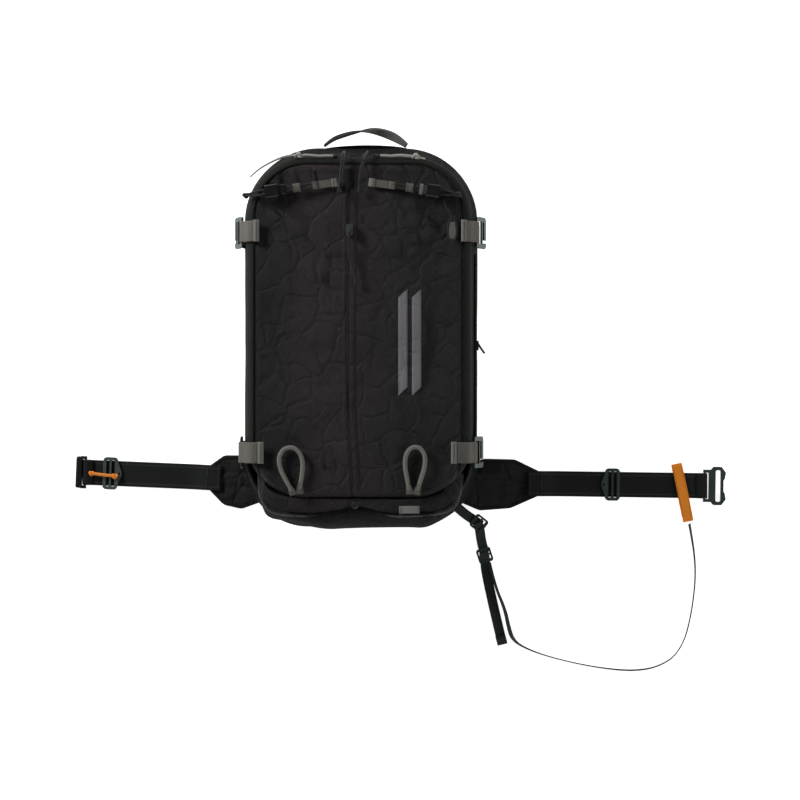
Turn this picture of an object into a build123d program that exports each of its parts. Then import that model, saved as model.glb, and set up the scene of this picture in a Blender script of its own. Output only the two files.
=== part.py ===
"""Avalanche airbag backpack, lying on its back with the front panel up and the hip belt spread flat.

Frame, in millimetres: +Z up, out of the front panel. +Y runs from the hip belt to the grab handle and
+X to the wearer's right. The origin is the middle of the lumbar pad's face, on the surface that the pack
lies on.

The bag is a tray (main_compartment and base_panel) closed by a lid (front_panel and front_binding) that
hinges on its bottom edge once the zip round it is open. The airbag, its blower and its control unit sit
in the tray, against the frame sheet. The harness is folded flat between the bag and the surface.
"""

from build123d import *
import math
import os

# ---- Driving dimensions ----------------------------------------------------------------------------

STRAP_THICK = 13.0          # shoulder strap foam
BACK_LOW = 14.0             # the back panel foam starts just above the straps
SHELL_LOW = 30.0            # back wall of the bag
RIM = 160.0                 # front edge of the tray
LID_LOW = 163.6             # skirt of the lid
FRONT = 188.0               # face of the front panel
SKIN = 2.5                  # thickness given to a fabric wall

BAG_HALF, BAG_BOTTOM, BAG_TOP = 172.0, -78.0, 487.0        # outline of the tray's back
RIM_HALF, RIM_BOTTOM, RIM_TOP = 158.0, -47.0, 456.0        # outline of the tray's front edge
BAG_CORNERS = (94.0, 110.0)  # bottom and top corner radii of the back
RIM_CORNERS = (50.0, 88.0)
LID_HALF, LID_BOTTOM, LID_TOP = 156.0, -23.0, 452.0        # outline of the lid
BINDING = 14.0              # width of the bound edge round the lid
BASE_TOP = 12.0             # where the base panel meets the side wall
LID_CORNERS = (42.0, 84.0)  # bottom and top corner radii
LID_EDGE = 22.0             # round of the lid's front edge

WEB = 1.8                   # webbing thickness
BELT_WIDTH = 38.0
COMPRESSION_WIDTH = 30.0
LEG_WIDTH = 15.0
CLEAR = 0.3                 # gap between pieces that move past each other

HINGE_X = 184.0             # hip wing hinge, either side of the middle
WING_THICK = 12.0
PIN_R, LOOP_R = 1.75, 3.6   # bar of a belt buckle, and the webbing's loop round it
PIN_Z = 4.4

COMPRESSION_Y = {"lower": 41.0, "upper": 348.0}
SIDES = {"left": -1, "right": 1}


# ---- Helpers ---------------------------------------------------------------------------------------

def outline(half, low, high, low_round, high_round):
    """A face with straight sides, and its own radius for the bottom and for the top corners."""
    face = Pos(0, (low + high) / 2) * Rectangle(2 * half, high - low)
    face = fillet(face.vertices().group_by(Axis.Y)[-1], high_round)
    return fillet(face.vertices().group_by(Axis.Y)[0], low_round)


def box(x, y, z):
    """A box from three (low, high) pairs."""
    spans = [abs(b - a) for a, b in (x, y, z)]
    middle = [(a + b) / 2 for a, b in (x, y, z)]
    return Pos(*middle) * Box(*spans)


def polygon(points):
    return make_face(Polyline(*points, close=True))


def slab(face, low, high):
    """A flat face raised from height low to height high."""
    return Pos(0, 0, low) * extrude(face, high - low)


def profile(points, width, y):
    """A strap: a side view in X and Z, of webbing thickness, drawn out to a width about y."""
    path = Polyline(*[(px, pz) for px, pz in points])
    face = trace(path, WEB)
    return Pos(0, y + width / 2, 0) * Rot(90, 0, 0) * extrude(face, width)


def rod(points, radius, bends):
    """A round cord along straight runs joined by tangent arcs."""
    path = FilletPolyline(*points, radius=bends)
    start = Plane(origin=path @ 0, z_dir=path % 0)
    return sweep(start * Circle(radius), path)


def round_edges(solid, radius, axis=Axis.Z):
    return fillet(solid.edges().filter_by(axis), radius)


# ---- The bag ---------------------------------------------------------------------------------------

def tray_body(inset, low):
    """The tray's outside, or its inside when inset by the wall."""
    back = outline(BAG_HALF - inset, BAG_BOTTOM + inset, BAG_TOP - inset, *[r - inset for r in BAG_CORNERS])
    rim = outline(RIM_HALF - inset, RIM_BOTTOM + inset, RIM_TOP - inset, *[r - inset for r in RIM_CORNERS])
    return loft([Pos(0, 0, low) * back, Pos(0, 0, RIM) * rim])


CABLE_X, CABLE_Y = -80.0, 425.0


def cable_hole():
    """Where the trigger cable passes from the harness into the bag."""
    return Pos(CABLE_X, CABLE_Y, SHELL_LOW) * Cylinder(4.0, 50)


def tray():
    return tray_body(0, SHELL_LOW) - tray_body(SKIN, SHELL_LOW + SKIN) - cable_hole()


def main_compartment():
    return tray() & box((-200, 200), (BASE_TOP, 500), (0, 200))


def base_panel():
    """The reinforced bottom, with the padded lip that runs along the lid's hinge."""
    lip = box((-118, 118), (RIM_BOTTOM + 0.5, LID_BOTTOM - 1.5), (RIM - 6, FRONT - 8))
    lip = fillet(lip.edges().filter_by(Axis.X), 8)
    return (tray() & box((-200, 200), (-100, BASE_TOP), (0, 200))) + lip


def lid_dome(inset):
    face = outline(LID_HALF - inset, LID_BOTTOM + inset, LID_TOP - inset,
                   LID_CORNERS[0] - inset, LID_CORNERS[1] - inset)
    dome = slab(face, LID_LOW, FRONT - inset)
    return fillet(dome.faces().sort_by(Axis.Z)[-1].edges(), LID_EDGE - inset)


def lid_skin():
    return lid_dome(0) - lid_dome(SKIN)


def inner_column():
    face = outline(LID_HALF - BINDING, LID_BOTTOM + 2, LID_TOP - BINDING,
                   LID_CORNERS[0] - 2, LID_CORNERS[1] - BINDING)
    return slab(face, 100, 250)


ZIP_X = -13.0               # the front pocket's zip runs left of the middle
ZIP_LOW, ZIP_HIGH = 2.0, 408.0


def front_panel():
    slot = box((ZIP_X - 3, ZIP_X + 3), (ZIP_LOW, ZIP_HIGH), (FRONT - 10, FRONT + 10))
    return (lid_skin() & inner_column()) - slot


def front_binding():
    return lid_skin() - inner_column()


def main_zip():
    """The coil and tape between the tray and the lid, open along the hinge."""
    outer = outline(LID_HALF, LID_BOTTOM, LID_TOP, *LID_CORNERS)
    inner = outline(LID_HALF - 4, LID_BOTTOM + 4, LID_TOP - 4, LID_CORNERS[0] - 4, LID_CORNERS[1] - 4)
    ring = slab(outer - inner, RIM + CLEAR, LID_LOW - CLEAR)
    return ring & box((-200, 200), (LID_BOTTOM + 30, 500), (100, 200))


def front_zip():
    """Tape in the panel's slot, with the coil standing on it."""
    tape = box((ZIP_X - 3, ZIP_X + 3), (ZIP_LOW, ZIP_HIGH), (FRONT - 1.5, FRONT))
    coil = box((ZIP_X - 2, ZIP_X + 2), (ZIP_LOW, ZIP_HIGH), (FRONT, FRONT + 2.2))
    return tape + coil


FRONT_SLIDER_Y = 349.0


def front_zip_slider():
    body = round_edges(box((-5, 5), (-8, 8), (FRONT + CLEAR, FRONT + 5.5)), 3)
    groove = box((-2.3, 2.3), (-10, 10), (FRONT, FRONT + 2.5))
    bail = box((-1.5, 1.5), (-7, 5), (FRONT + 5.5, FRONT + 8)) - box((-2, 2), (-4, 2), (FRONT + 5.5, FRONT + 6.8))
    return Pos(ZIP_X, FRONT_SLIDER_Y, 0) * (body - groove + bail)


FRONT_PULL = [(-13, 346, 197.9), (-14, 330, 195.4), (-11, 313, 193), (-6, 295, 193), (-4, 277, 193)]
TOP_PULLS = {
    "left": [(-21, 460, 169.6), (-22, 457, 187), (-24, 440, 193.5), (-26, 421, 193.5), (-27, 404, 193.5)],
    "right": [(12, 460, 169.6), (11, 457, 187), (7, 440, 193.5), (2, 421, 193.5), (0, 404, 193.5)],
}
PULL_R = 1.3


def bend_radii(points, share=0.45):
    """The radius at each corner of a route: as large as its two runs leave room for."""
    radii = []
    for a, b, c in zip(points, points[1:], points[2:]):
        run = min((Vector(b) - Vector(a)).length, (Vector(c) - Vector(b)).length)
        turn = (Vector(b) - Vector(a)).get_angle(Vector(c) - Vector(b))
        radii.append(share * run / math.tan(math.radians(turn) / 2))
    return radii


def cord(points, radius):
    return rod(points, radius, bend_radii(points))


TOP_SLIDER_X = {"left": -21.0, "right": 12.0}


def main_zip_slider(side):
    """Runs along the coil at the top of the lid."""
    x = TOP_SLIDER_X[side]
    body = round_edges(box((x - 8, x + 8), (LID_TOP + CLEAR, LID_TOP + 6), (RIM + 0.4, LID_LOW + 2)), 2)
    bail = box((x - 1.5, x + 1.5), (LID_TOP + 5.3, LID_TOP + 8.5), (RIM + 1, LID_LOW + 4.4))
    return body + bail


RIM_CORDS = [
    [(-129, 441, 174), (-112, 450, 175), (-84, 455.2, 176), (-56, 453.6, 176), (-34, 453, 176)],
    [(24, 453, 176), (44, 453.4, 176), (62, 454.6, 176), (79, 452.6, 175)],
]


SIDE_ZIP_Z, SIDE_SLIDER_Y = 100.0, 192.0


def side_zip_slider():
    """Slider and toggle of the side pocket's zip, which runs along the right wall."""
    wall = BAG_HALF - (BAG_HALF - RIM_HALF) * (SIDE_ZIP_Z - SHELL_LOW) / (RIM - SHELL_LOW)
    x, z = wall + 1.2, SIDE_ZIP_Z
    body = round_edges(box((x, x + 4), (SIDE_SLIDER_Y - 7, SIDE_SLIDER_Y + 7), (z - 4, z + 4)), 2, Axis.X)
    toggle = cord([(x + 3, SIDE_SLIDER_Y + 3, z), (x + 6, SIDE_SLIDER_Y - 2, z), (x + 12.5, SIDE_SLIDER_Y - 11, z - 2)], 1.6)
    return body + toggle


# ---- Fittings on the lid ---------------------------------------------------------------------------

TOOL_LOOPS = {"left": (-86.0, 10.0, 18.5), "right": (75.0, -3.6, 16.5)}   # foot X, lean in degrees, outer radius
TOOL_FOOT_Y = -16.0
TOOL_REACH = 46.0           # foot to the middle of the loop's round end
TOOL_LOW, TOOL_HIGH = FRONT + 0.4, FRONT + 5.4


def tool_loop(side):
    """A stiff cord loop for a tool's shaft, lying up the panel from its sewn foot."""
    x, lean, radius = TOOL_LOOPS[side]
    outer = make_hull(((Pos(0, TOOL_REACH) * Circle(radius)) + (Pos(0, 8) * Circle(8))).edges())
    inner = make_hull(((Pos(0, TOOL_REACH) * Circle(radius - 5.5)) + (Pos(0, 10) * Circle(2.2))).edges())
    foot = Pos(0, 5) * Rectangle(20, 10)
    return Pos(x, TOOL_FOOT_Y, 0) * Rot(0, 0, lean) * slab(outer - inner + foot, TOOL_LOW, TOOL_HIGH)


AXE_Y = 410.0               # line of the axe holders, at the tabs
AXE_TILT = 8.0              # the cords fall away towards the sides
AXE_TAB_END = {"left": -64.0, "right": 49.0}
AXE_LOCK = {"left": 57.0, "right": 54.0}    # from the tab's end to the middle of the lock
AXE_CORD_Z = FRONT + 4.6


def axe_frame(side):
    """Local X runs out along the cords from the end of the tab."""
    heading = 180 + AXE_TILT if side == "left" else -AXE_TILT
    return Pos(AXE_TAB_END[side], AXE_Y, 0) * Rot(0, 0, heading)


AXE_CORD_END = {"left": (92.0, -6.0), "right": (88.0, -2.0)}   # reach, and drop at the end


def axe_strands(side):
    """The two elastic strands of a holder, from the tab through the lock and towards the lid's edge."""
    reach, drop = AXE_CORD_END[side]
    for across in (-3.0, 3.0):
        points = [(1, across, AXE_CORD_Z), (76, across, AXE_CORD_Z), (reach, across * 0.7, AXE_CORD_Z + drop)]
        yield axe_frame(side) * rod(points, 1.6, [14])


def elastic_cords():
    """The axe holders' strands, and the grey cords tied along the top seam."""
    strands = [strand for side in SIDES for strand in axe_strands(side)]
    return strands + [cord(points, 1.9) for points in RIM_CORDS]


def cord_lock(side):
    """The barrel lock's body, with a slot that the strands run through."""
    body = box((-9, 9), (-9, 9), (AXE_CORD_Z - 4, AXE_CORD_Z + 5.5))
    body = fillet(body.edges().filter_by(Axis.X), 3.2)
    slot = box((-20, 20), (-5.2, 5.2), (AXE_CORD_Z - 2, AXE_CORD_Z + 2))
    socket = box((-20, -2), (-6.2, 6.2), (AXE_CORD_Z - 2.8, AXE_CORD_Z + 2.8))
    return axe_frame(side) * Pos(AXE_LOCK[side], 0, 0) * (body - slot - socket)


def cord_lock_button(side):
    stem = box((-16, -6.5), (-5.9, 5.9), (AXE_CORD_Z - 2.5, AXE_CORD_Z + 2.5))
    head = fillet(box((-19, -14), (-7.5, 7.5), (AXE_CORD_Z - 3.8, AXE_CORD_Z + 4.5)).edges().filter_by(Axis.X), 3)
    slot = box((-30, 0), (-5, 5), (AXE_CORD_Z - 1.9, AXE_CORD_Z + 1.9))
    return axe_frame(side) * Pos(AXE_LOCK[side], 0, 0) * (stem + head - slot)


def gear_tabs():
    """Sewn webbing tabs on the lid: two for the axe cords, two keepers on them, one at the side."""
    pieces = []
    for side in SIDES:
        frame = axe_frame(side)
        pieces.append(frame * box((-36, 0), (-5, 5), (FRONT + 0.2, FRONT + 2.8)))
        keeper = box((16, 27), (-6.5, 6.5), (FRONT + 0.2, AXE_CORD_Z + 3.2))
        pieces.append(frame * (keeper - box((10, 30), (-5.2, 5.2), (AXE_CORD_Z - 2, AXE_CORD_Z + 2))))
    pieces.append(box((125, 134), (334, 362), (FRONT + 0.2, FRONT + 2.6)))
    return pieces


# ---- Compression straps ----------------------------------------------------------------------------

HOOK_Z = 166.0                     # height of the hooks' pivots
HOOK_X = {"lower_left": 164.5, "lower_right": 161.0, "upper_left": 163.0, "upper_right": 164.0}
HOOK_LEAN = {"lower_left": 88.0, "lower_right": 62.0, "upper_left": 64.0, "upper_right": 60.0}   # below level
COMPRESSION_INNER = {"lower_left": 132.0, "lower_right": 128.0, "upper_left": 138.0, "upper_right": 142.0}


def compression_straps():
    """Four webbing straps from the lid's bound edge to the hooks' bars."""
    pieces = []
    for level, y in COMPRESSION_Y.items():
        for side, sign in SIDES.items():
            inner, x = COMPRESSION_INNER[f"{level}_{side}"], HOOK_X[f"{level}_{side}"]
            points = [(inner, FRONT + 1.2), (143, FRONT + 0.6), (152.5, 183.8), (x - 5.5, 176.5), (x - 1.2, 168.6)]
            web = profile([(sign * px, pz) for px, pz in points], COMPRESSION_WIDTH, y)
            at_pivot = Pos(sign * x, y, HOOK_Z) * Rot(90, 0, 0)
            eye = at_pivot * Cylinder(3.4, COMPRESSION_WIDTH)
            pieces.append(web + eye - at_pivot * Cylinder(1.65, 60))
    return pieces


def hook_plate():
    """A flat hook: a round bar for the strap, and a slot open at one corner for the other loop."""
    plate = Pos(13.5, 0) * Rectangle(25, 44)
    plate = fillet(plate.vertices(), 5)
    eye = Pos(5.2, 0) * Rectangle(16, COMPRESSION_WIDTH + 2)
    slot = Pos(18, 0) * Rectangle(4.4, COMPRESSION_WIDTH + 1)
    gate = Pos(22, -COMPRESSION_WIDTH / 2 + 3) * Rectangle(12, 4.4)
    plate = slab(plate - eye - slot - gate, -1.3, 1.3)
    bar = Rot(90, 0, 0) * Cylinder(1.6, COMPRESSION_WIDTH + 8)
    ends = [Pos(1, sign * (COMPRESSION_WIDTH / 2 + 3.5), 0) * Box(5, 5, 2.6) for sign in SIDES.values()]
    return plate + bar + ends[0] + ends[1]


def compression_hook(level, side):
    name = f"{level}_{side}"
    place = Pos(SIDES[side] * HOOK_X[name], COMPRESSION_Y[level], HOOK_Z)
    lean = HOOK_LEAN[name]
    turn = Rot(0, lean if side == "right" else 180 - lean, 0)
    return place * turn * hook_plate()


def strap_anchors():
    """The four webbing tabs sewn down the side walls, which the hooks catch."""
    points = [(168.6, 84), (167.4, 104), (166.7, 122), (166.4, 134)]
    return [
        profile([(sign * px, pz) for px, pz in points], COMPRESSION_WIDTH - 1, y)
        for y in COMPRESSION_Y.values()
        for sign in SIDES.values()
    ]


# ---- Harness ---------------------------------------------------------------------------------------

def back_panel():
    foam = slab(outline(158, BAG_BOTTOM + 16, BAG_TOP - 14, 50, 78), BACK_LOW + CLEAR, SHELL_LOW)
    channel = box((-16, 16), (60, 500), (0, BACK_LOW + 8))
    return foam - channel - cable_hole()


def lumbar_pad():
    return slab(outline(92, -46, 46, 20, 20), 0, BACK_LOW + CLEAR)


def frame_sheet():
    sheet = slab(outline(128, -40, 440, 30, 60), SHELL_LOW + SKIN, SHELL_LOW + SKIN + 2.4)
    return sheet - cable_hole()


STRAP_TOP, STRAP_MID, STRAP_LOW = (66.0, 412.0), (92.0, 300.0), (84.0, 150.0)
STRAP_HALF = 30.0
HANDLE_Y = (182.0, 268.0)
HANDLE_TRAVEL = 30.0


def strap_run(start, end):
    """A band with round ends."""
    circles = (Pos(*start) * Circle(STRAP_HALF)) + (Pos(*end) * Circle(STRAP_HALF))
    return make_hull(circles.edges())


def shoulder_strap(side):
    sign = SIDES[side]
    top, middle, low = [(sign * px, py) for px, py in (STRAP_TOP, STRAP_MID, STRAP_LOW)]
    strap = slab(strap_run(top, middle) + strap_run(middle, low), 0, STRAP_THICK)
    if side == "left":
        pocket_x = (-88 - 13.5, -88 + 13.5)
        strap -= box(pocket_x, (HANDLE_Y[0] - HANDLE_TRAVEL - 1, HANDLE_Y[1] + 1), (-1, 10))
        strap -= box((CABLE_X - 4, CABLE_X + 4), (HANDLE_Y[1], 404), (-1, 9))
        strap -= box((CABLE_X - 4, CABLE_X + 4), (404, 430), (-1, 20))
        strap -= Pos(CABLE_X, CABLE_Y, 0) * Cylinder(4, 60)
    return strap


def harness_webbing():
    """Load lifters, lower adjusters and the two halves of the sternum strap, as separate straps."""
    pieces = []
    for sign in SIDES.values():
        pieces.append(box((sign * 56, sign * 76), (443, 468), (5, 5 + WEB)))
        pieces.append(box((sign * 74, sign * 94), (52, 119.5), (5, 5 + WEB)))
    pieces.append(box((-58, -24.5), (290, 310), (5, 5 + WEB)))
    pieces.append(box((41, 58), (290, 310), (5, 5 + WEB)))
    return pieces


def sternum_socket():
    body = fillet(box((-24, 3), (287, 313), (1, 11)).edges().filter_by(Axis.X), 3)
    return body - box((-14, 5), (291, 309), (3, 9))


def sternum_plug():
    head = fillet(box((3.4, 25), (289, 311), (2, 10)).edges().filter_by(Axis.X), 3)
    return head + box((-12, 4), (292, 308), (3.6, 8.4))


def trigger_handle():
    """A T-shaped pull, held in the left shoulder strap's pocket."""
    grip = box((-88 - 12, -88 + 12), HANDLE_Y, (1, 9.4))
    grip = fillet(grip.edges().filter_by(Axis.Y), 3)
    waist = [box((x - 5, x + 5), (205, 250), (0, 12)) for x in (-104, -72)]
    return grip - waist[0] - waist[1]


TRIGGER_CABLE = [
    (CABLE_X, 270.5, 5), (CABLE_X, 360, 5), (CABLE_X + 0.5, 425, 6), (CABLE_X - 0.5, 425, 43),
    (-112, 385, 44), (-113, 310, 44), (-108, 240, 45), (-106, 170.5, 45),
]


def trigger_cable():
    return rod(TRIGGER_CABLE, 2.2, [900, 14, 14, 60, 300, 400])


HANDLE_AXIS = (486.5, 47.0)      # Y and Z of the grab handle's hinge line
HANDLE_ARCH = [(-54.0, 486.5), (-16.0, 504.0), (14.0, 511.0), (44.0, 503.5), (69.0, 486.5)]
HANDLE_THICK, HANDLE_HALF = 3.2, 10.0


def grab_handle():
    """A webbing loop at the top of the back, standing out past the bag."""
    outer = Spline(*HANDLE_ARCH)
    left, right = HANDLE_ARCH[0], HANDLE_ARCH[-1]
    crown = [(px, py - HANDLE_THICK) for px, py in HANDLE_ARCH[1:-1]]
    inner = Spline((left[0] + 2 * HANDLE_THICK, left[1]), *crown, (right[0] - 1.5 * HANDLE_THICK, right[1]))
    face = make_face([outer, inner, Line(outer @ 0, inner @ 0), Line(outer @ 1, inner @ 1)])
    loop = slab(face, HANDLE_AXIS[1] - HANDLE_HALF, HANDLE_AXIS[1] + HANDLE_HALF)
    y, z = HANDLE_AXIS
    wide = HANDLE_HALF + 1
    taper = [(y, z - 4), (y + 7, z - wide), (y + 60, z - wide), (y + 60, z + wide), (y + 7, z + wide), (y, z + 4)]
    return loop & extrude(Plane.YZ * polygon(taper), 200, both=True)


# ---- Hip belt --------------------------------------------------------------------------------------

BELT = {   # tip of the wing, pin of the buckle, middle line, and slope of the belt in degrees
    "left": {"tip": 232.0, "pin": 411.5, "y": -3.0, "slope": 2.4, "high": 31.0, "low": -47.0, "glide": 374.0},
    "right": {"tip": 270.0, "pin": 510.0, "y": -9.1, "slope": -0.8, "high": 26.0, "low": -50.0, "glide": 373.0},
}
BELT_Z = 2.6                # middle of the webbing where it lies flat
WING_TIP_THICK = 7.0


def belt_frame(side):
    """Local +X runs out along the belt from the hinge line, and local Z is up."""
    sign, belt = SIDES[side], BELT[side]
    turn = -belt["slope"] if side == "left" else belt["slope"]
    place = Pos(sign * HINGE_X, belt["y"], 0) * Rot(0, 0, turn)
    return place if side == "right" else place * mirror_frame()


def mirror_frame():
    """Turns local +X to point at -X, with Y reversed and Z kept."""
    return Rot(0, 0, 180)


def hip_wing(side):
    """Padded wing: a round root on the hinge line, thinner and narrower towards its tip."""
    belt, sign = BELT[side], SIDES[side]
    length = belt["tip"] - HINGE_X
    high, low = belt["high"] - belt["y"], belt["low"] - belt["y"]
    tip_half = BELT_WIDTH / 2 + 3
    plan = polygon([(0, low), (length * 0.75, -tip_half - 4), (length, -tip_half + 6),
                    (length, tip_half - 6), (length * 0.85, high), (0, high)])
    side_view = polygon([(0, 0), (length, 0), (length, WING_TIP_THICK), (0, WING_THICK)])
    wedge = Pos(0, 100, 0) * Rot(90, 0, 0) * extrude(side_view, 200)
    wing = slab(plan, -1, 20) & wedge
    root = Pos(0, (high + low) / 2, WING_THICK / 2) * Rot(90, 0, 0) * Cylinder(WING_THICK / 2, high - low)
    wing = wing + root
    return flip_y(side, wing)


def flip_y(side, shape):
    """Places a piece drawn with +X outwards and +Y up the pack on its own side."""
    if side == "right":
        return belt_frame(side) * shape
    return Pos(-HINGE_X, BELT[side]["y"], 0) * Rot(0, 0, -BELT[side]["slope"]) * mirror(shape, about=Plane.YZ)


def belt_webbing(side):
    """From its stitches on the wing, down to the surface, and round the buckle's bar."""
    belt = BELT[side]
    tip, pin = belt["tip"] - HINGE_X, belt["pin"] - HINGE_X
    over = WING_TIP_THICK + 0.7
    points = [(tip - 20, over + 3.3), (tip + 1, over + 1.0), (tip + 26, BELT_Z), (pin, BELT_Z)]
    web = profile(points, BELT_WIDTH, 0)
    at = Pos(pin, 0, PIN_Z) * Rot(90, 0, 0)
    web = web + at * Cylinder(LOOP_R, BELT_WIDTH) - at * Cylinder(PIN_R + 0.05, 60)
    return flip_y(side, web)


GLIDE_LOW, GLIDE_HIGH = BELT_Z + WEB / 2 + CLEAR, BELT_Z + WEB / 2 + CLEAR + 2.6


def belt_glide(side):
    """Ladder plate on the webbing, with a pointed flange towards the pack."""
    ring = fillet((Rectangle(22, 48)).vertices(), 5.5)
    flange = polygon([(-10, -20), (-16.5, -3), (-16.5, 3), (-10, 20)])
    windows = (Pos(-3.9, 0) * Rectangle(5.0, 38.5)) + (Pos(3.9, 0) * Rectangle(5.0, 38.5))
    windows = fillet(windows.vertices(), 1.6)
    plate = slab(ring + flange - windows, GLIDE_LOW, GLIDE_HIGH)
    plate = plate - Pos(-13.2, 0, 0) * Cylinder(1.6, 60)
    return flip_y(side, Pos(BELT[side]["glide"] - HINGE_X, 0, 0) * plate)


def buckle_pin(width):
    """The bar that the belt's loop turns on, with an arm at each end."""
    bar = Pos(0, 0, PIN_Z) * Rot(90, 0, 0) * Cylinder(PIN_R, width + 5)
    arms = [box((-2, 7), (sign * width / 2, sign * (width / 2 + 4.5)), (PIN_Z - 2, PIN_Z + 2))
            for sign in SIDES.values()]
    return bar + arms[0] + arms[1]


def belt_buckle_hook():
    """Left half: a stout bar that passes through the other half's slot."""
    bar = box((4.2, 13.5), (-23.5, 23.5), (0.4, 10.4))
    bar = fillet(bar.edges(), 3)
    return flip_y("left", Pos(BELT["left"]["pin"] - HINGE_X, 0, 0) * (bar + buckle_pin(BELT_WIDTH + 1)))


def belt_buckle_loop():
    """Right half: a flat plate with the slot that takes the bar."""
    points = [(8, -22), (13, -28.5), (25, -28.5), (31.5, -20), (30, -11), (28, -8),
              (28, 8), (30, 11), (31.5, 20), (25, 28.5), (13, 28.5), (8, 22)]
    plate = fillet(polygon(points).vertices(), 2.2)
    slot = fillet((Pos(20, 0) * Rectangle(7.6, 47)).vertices(), 2.5)
    plate = slab(plate - slot, PIN_Z - 2.2, PIN_Z + 2.2)
    web_bar = box((6, 12), (-24, 24), (PIN_Z - 2.2, PIN_Z + 2.2))
    plate = plate + web_bar
    return flip_y("right", Pos(BELT["right"]["pin"] - HINGE_X, 0, 0) * (plate + buckle_pin(BELT_WIDTH + 1)))


def buckle_lanyard():
    """The stretch of the buckle's orange pull cord that lies over the glide and the webbing."""
    points = [(186, -3.5, 9.6), (196, -2.8, 10.0), (208, -1.8, 10.4), (218.5, -0.8, 10.8)]
    return flip_y("left", cord(points, 2.4))


# ---- Leg strap -------------------------------------------------------------------------------------

LEG_ANCHOR = [(147.0, -51.0), (173.0, -69.0)]
LEG_LINK = [(175.0, -82.0), (180.5, -108.0)]
LEG_TAIL = [(179.0, -129.0), (209.5, -249.0)]
LEG_ROUTE = [
    (190, -127), (198, -162), (213, -197), (218, -222), (224, -242), (241, -254), (276, -267), (330, -280),
    (378, -287), (410, -288), (438, -283), (464, -269), (480, -243), (488, -212), (493, -182), (496, -150),
    (495, -120), (491, -92), (487, -70),
]
SLEEVE = [(486.0, -66.0), (468.5, 18.5)]
SLEEVE_WIDTH = 15.5


def strip(start, end, width, low, high):
    """A flat strap from one point to another in plan."""
    across = Vector(end[0] - start[0], end[1] - start[1]).length
    turn = math.degrees(math.atan2(end[1] - start[1], end[0] - start[0]))
    middle = ((start[0] + end[0]) / 2, (start[1] + end[1]) / 2, (low + high) / 2)
    return Pos(*middle) * Rot(0, 0, turn) * Box(across, width, high - low)


def leg_strap():
    """The long strap, lying on its edge in a loop from the lower buckle to the orange sleeve."""
    path = FilletPolyline(*LEG_ROUTE, radius=bend_radii([(*p, 0) for p in LEG_ROUTE]))
    return slab(trace(path, WEB), 0.2, 0.2 + LEG_WIDTH)


def leg_webbing():
    """The straps that lie flat: bag to upper buckle, upper to lower buckle, and the loose tail."""
    return [strip(*run, LEG_WIDTH, 0.6, 0.6 + WEB) for run in (LEG_ANCHOR, LEG_LINK, LEG_TAIL)]


def ladder_buckle(place, turn):
    """A small two-bar adjuster that stands over the webbing."""
    ring = fillet(Rectangle(22, 22).vertices(), 4)
    windows = (Pos(-4, 0) * Rectangle(5, 16)) + (Pos(4, 0) * Rectangle(5, 16))
    plate = slab(ring - windows, 2.8, 6)
    return Pos(*place, 0) * Rot(0, 0, turn) * plate


def leg_buckle_upper():
    return ladder_buckle((174.5, -69.5), -38)


def leg_buckle_lower():
    return ladder_buckle((183.0, -117.0), -72)


def leg_loop_sleeve():
    """Orange sleeve over the end of the leg strap, with the hip belt through it."""
    top = strip(*SLEEVE, SLEEVE_WIDTH, 5.2, 7.4)
    under = strip(*SLEEVE, SLEEVE_WIDTH, 0.1, 1.4)
    length = math.dist(*SLEEVE)
    ends = [
        strip(SLEEVE[i], [SLEEVE[i][k] + (SLEEVE[1 - i][k] - SLEEVE[i][k]) * share / length for k in (0, 1)],
              SLEEVE_WIDTH, 0.1, 7.4)
        for i, share in ((0, 24.0), (1, 3.0))
    ]
    return top + under + ends[0] + ends[1]


# ---- Airbag system ---------------------------------------------------------------------------------

INSIDE = 35.2               # face of the frame sheet's front, with a gap
BLOWER = (58.0, 262.0)
BLOWER_R, BLOWER_HIGH = 62.0, 86.0
MOTOR_TOP = 50.0
CASE = ((-122.0, 22.0), (66.0, 168.0), (INSIDE, 72.0))


def folded_airbag():
    bag = slab(outline(128, 352, 438, 22, 62), 52, 146)
    return fillet(bag.faces().sort_by(Axis.Z)[-1].edges(), 14)


def blower_housing():
    """A volute cup with an outlet towards the airbag."""
    x, y = BLOWER
    cup = Pos(x, y) * Circle(BLOWER_R)
    duct = Pos(x + 30, (y + 346) / 2) * Rectangle(52, 346 - y)
    outside = slab(cup + duct, INSIDE, BLOWER_HIGH)
    cup_in = Pos(x, y) * Circle(BLOWER_R - 3)
    duct_in = Pos(x + 30, (y + 350) / 2) * Rectangle(46, 350 - y)
    inside = slab(cup_in, INSIDE + 3, BLOWER_HIGH + 1)
    channel = slab(duct_in, INSIDE + 3, BLOWER_HIGH - 3)
    return outside - inside - channel


def blower_cover():
    """A disc with the air inlet, guarded by four spokes."""
    x, y = BLOWER
    disc = Pos(x, y) * (Circle(BLOWER_R) - Circle(28) + Circle(9))
    for turn in (0, 45, 90, 135):
        disc = disc + Pos(x, y) * Rot(0, 0, turn) * Rectangle(60, 3)
    return slab(disc, BLOWER_HIGH, BLOWER_HIGH + 3)


def impeller():
    x, y = BLOWER
    wheel = slab(Circle(50), MOTOR_TOP + 2, MOTOR_TOP + 4)
    wheel = wheel + slab(Circle(10), MOTOR_TOP + 2, BLOWER_HIGH - 6) + slab(Circle(3), INSIDE + 6, MOTOR_TOP + 3)
    blade = Pos(36, 0) * Rot(0, 0, 35) * Rectangle(28, 2)
    for k in range(11):
        wheel = wheel + slab(Rot(0, 0, k * 360 / 11) * blade, MOTOR_TOP + 3, BLOWER_HIGH - 8)
    return Pos(x, y, 0) * wheel


def blower_motor():
    x, y = BLOWER
    return Pos(x, y, 0) * slab(Circle(19) - Circle(3.05), INSIDE + 3, MOTOR_TOP)


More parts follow.
